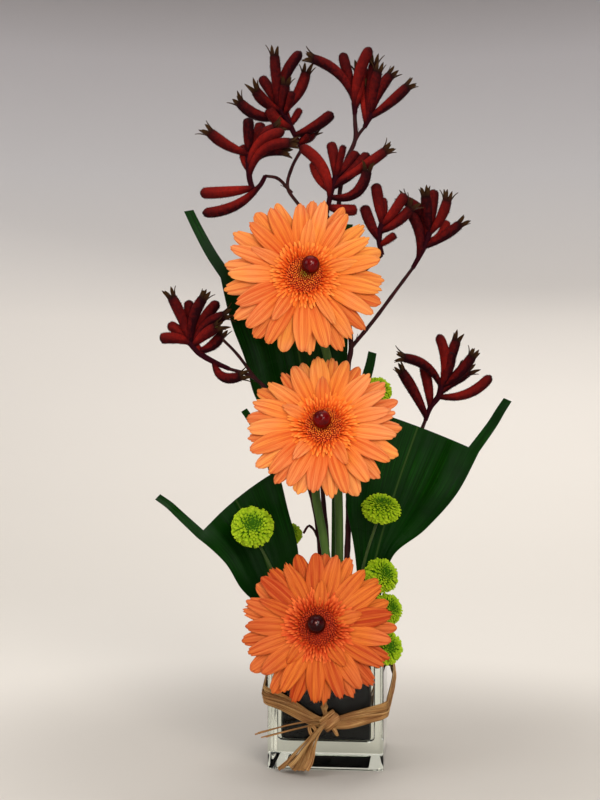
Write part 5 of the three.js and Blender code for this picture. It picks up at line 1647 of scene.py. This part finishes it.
def loose_end(skin, count, widths, points, chance):
    """Strips side by side that share a path and fan out along it, each with its own ripples and end."""
    path = smooth_path(in_front(points), END_ROWS)
    u = np.linspace(0, 1, END_ROWS)
    way = unit(np.gradient(path, axis=0))
    across = unit(np.cross(way, UP))
    over = np.cross(way, across)
    width = widths[0] + (widths[1] - widths[0]) * u
    for k in range(count):
        phase, depth, short, roll = chance.uniform(-1, 1, 4)
        spread = 2 * (k + 0.5) / count - 1
        aside = (width * spread * (1 - 0.4 / count) + 0.5 * phase * np.sin(5 * u + 3 * phase))[:, None]
        line = path + across * aside + over * (0.55 * depth * np.sin(3 * u + 1) + 0.2)[:, None]
        last = END_ROWS - int(4 * (short + 1)) if count > 1 else END_ROWS
        half = 1.35 * width / count * (1 - 0.25 * np.clip(u - 0.85, 0, 1) / 0.15)
        roll = 0.35 * roll + 0.3 * np.sin(4 * u + phase)
        section = rippled(half, END_THICK, roll, END_SIDES, 6.0, 4 * phase + 3 * u)
        strand(skin, sweep(line, across, section)[:last], (u * 0.25)[:last], chance)


def knot(skin, chance):
    """A folded lump, three strips wound round it, and the eye that the long ends come through."""
    size = np.array(KNOT["size"], float)
    around = np.linspace(0, 2 * math.pi, KNOT_ROWS, endpoint=False)
    polar = np.linspace(0.05, math.pi - 0.05, 24)
    ball = turned(np.stack([np.sin(polar), -np.cos(polar)], axis=-1))
    folds = 0.86 + 0.05 * np.sin(6 * ring_angles(TURNED) + 3 * ball[..., 2])
    lump = leaned(ball * size * folds[..., None], KNOT["lean"]) + in_front([KNOT["at"]])
    skin.tubes(lump @ VASE_TURN, along=ball[..., 2] * 0.2, across=ball[..., 0], tint=0.4)
    for height, tilt in KNOT_TURNS:
        reach = math.sqrt(1 - height**2)
        wave = height + tilt * np.cos(around) * 0.4
        path = (reach * spokes(around) + UP * wave[:, None]) * size * 0.97
        roll = 0.2 * np.sin(2 * around + tilt)
        section = rippled(KNOT["half"], KNOT["thick"], roll, KNOT_SIDES, 7.0, 2 * around)
        loop = leaned(looped(path, UP, section), KNOT["lean"]) + in_front([KNOT["at"]])
        strand(skin, loop, around / 20, chance, closed=True)
    flat = EYE["radius"] * np.stack([EYE["stretch"] * np.cos(around), 0 * around, np.sin(around)], axis=-1)
    section = rippled(EYE["half"], EYE["thick"], 0.25 * np.sin(around), KNOT_SIDES, 6.0, 3 * around)
    outward = unit(flat)[[-1, *range(KNOT_ROWS), 0]]
    loop = leaned(looped(flat, outward, section), EYE["lean"]) + in_front([EYE["at"]])
    strand(skin, loop, around / 20, chance, closed=True)


def raffia():
    """The band, the knot and the loose ends as one piece."""
    skin = Skin()
    chance = np.random.default_rng(21)
    for strip in STRIPS:
        grid, share = strip_round(*strip, chance)
        strand(skin, grid, share, chance, closed=True)
    knot(skin, chance)
    for count, widths, points in LOOSE_ENDS:
        loose_end(skin, count, widths, points, chance)
    skin.piece("raffia_bow", RAFFIA, ["raffia_tie"], sharp=70)


RAFFIA = Finish("raffia_strip", Roughness=0.6, Specular_IOR_Level=0.08)
across = RAFFIA.mark("across")
along = RAFFIA.mark("along")
tint = RAFFIA.mark("tint")
fibre = RAFFIA.noise(RAFFIA.join(across * 4.0, along * 6.0, tint * 40.0), 1.6, 4.0)
thread = RAFFIA.noise(RAFFIA.join(across * 40.0, along * 12.0, tint * 13.0), 1.5, 2.0)
cloud = RAFFIA.noise(RAFFIA.place(), 70.0, 2.0)
pale = fibre.ramp((0.35, tone(112, 72, 32)), (0.5, tone(172, 128, 74)), (0.68, tone(222, 186, 126)))
rosy = fibre.ramp((0.35, tone(84, 48, 26)), (0.5, tone(142, 94, 56)), (0.68, tone(188, 140, 92)))
RAFFIA.paint(Base_Color=(cloud.between(0.35, 0.65) * 0.5 + tint * 0.5).mix(pale, rosy))
RAFFIA.paint(Roughness=0.45 + thread * 0.3)
RAFFIA.bump(fibre * 0.5 + thread * 0.5, 0.2)
raffia()
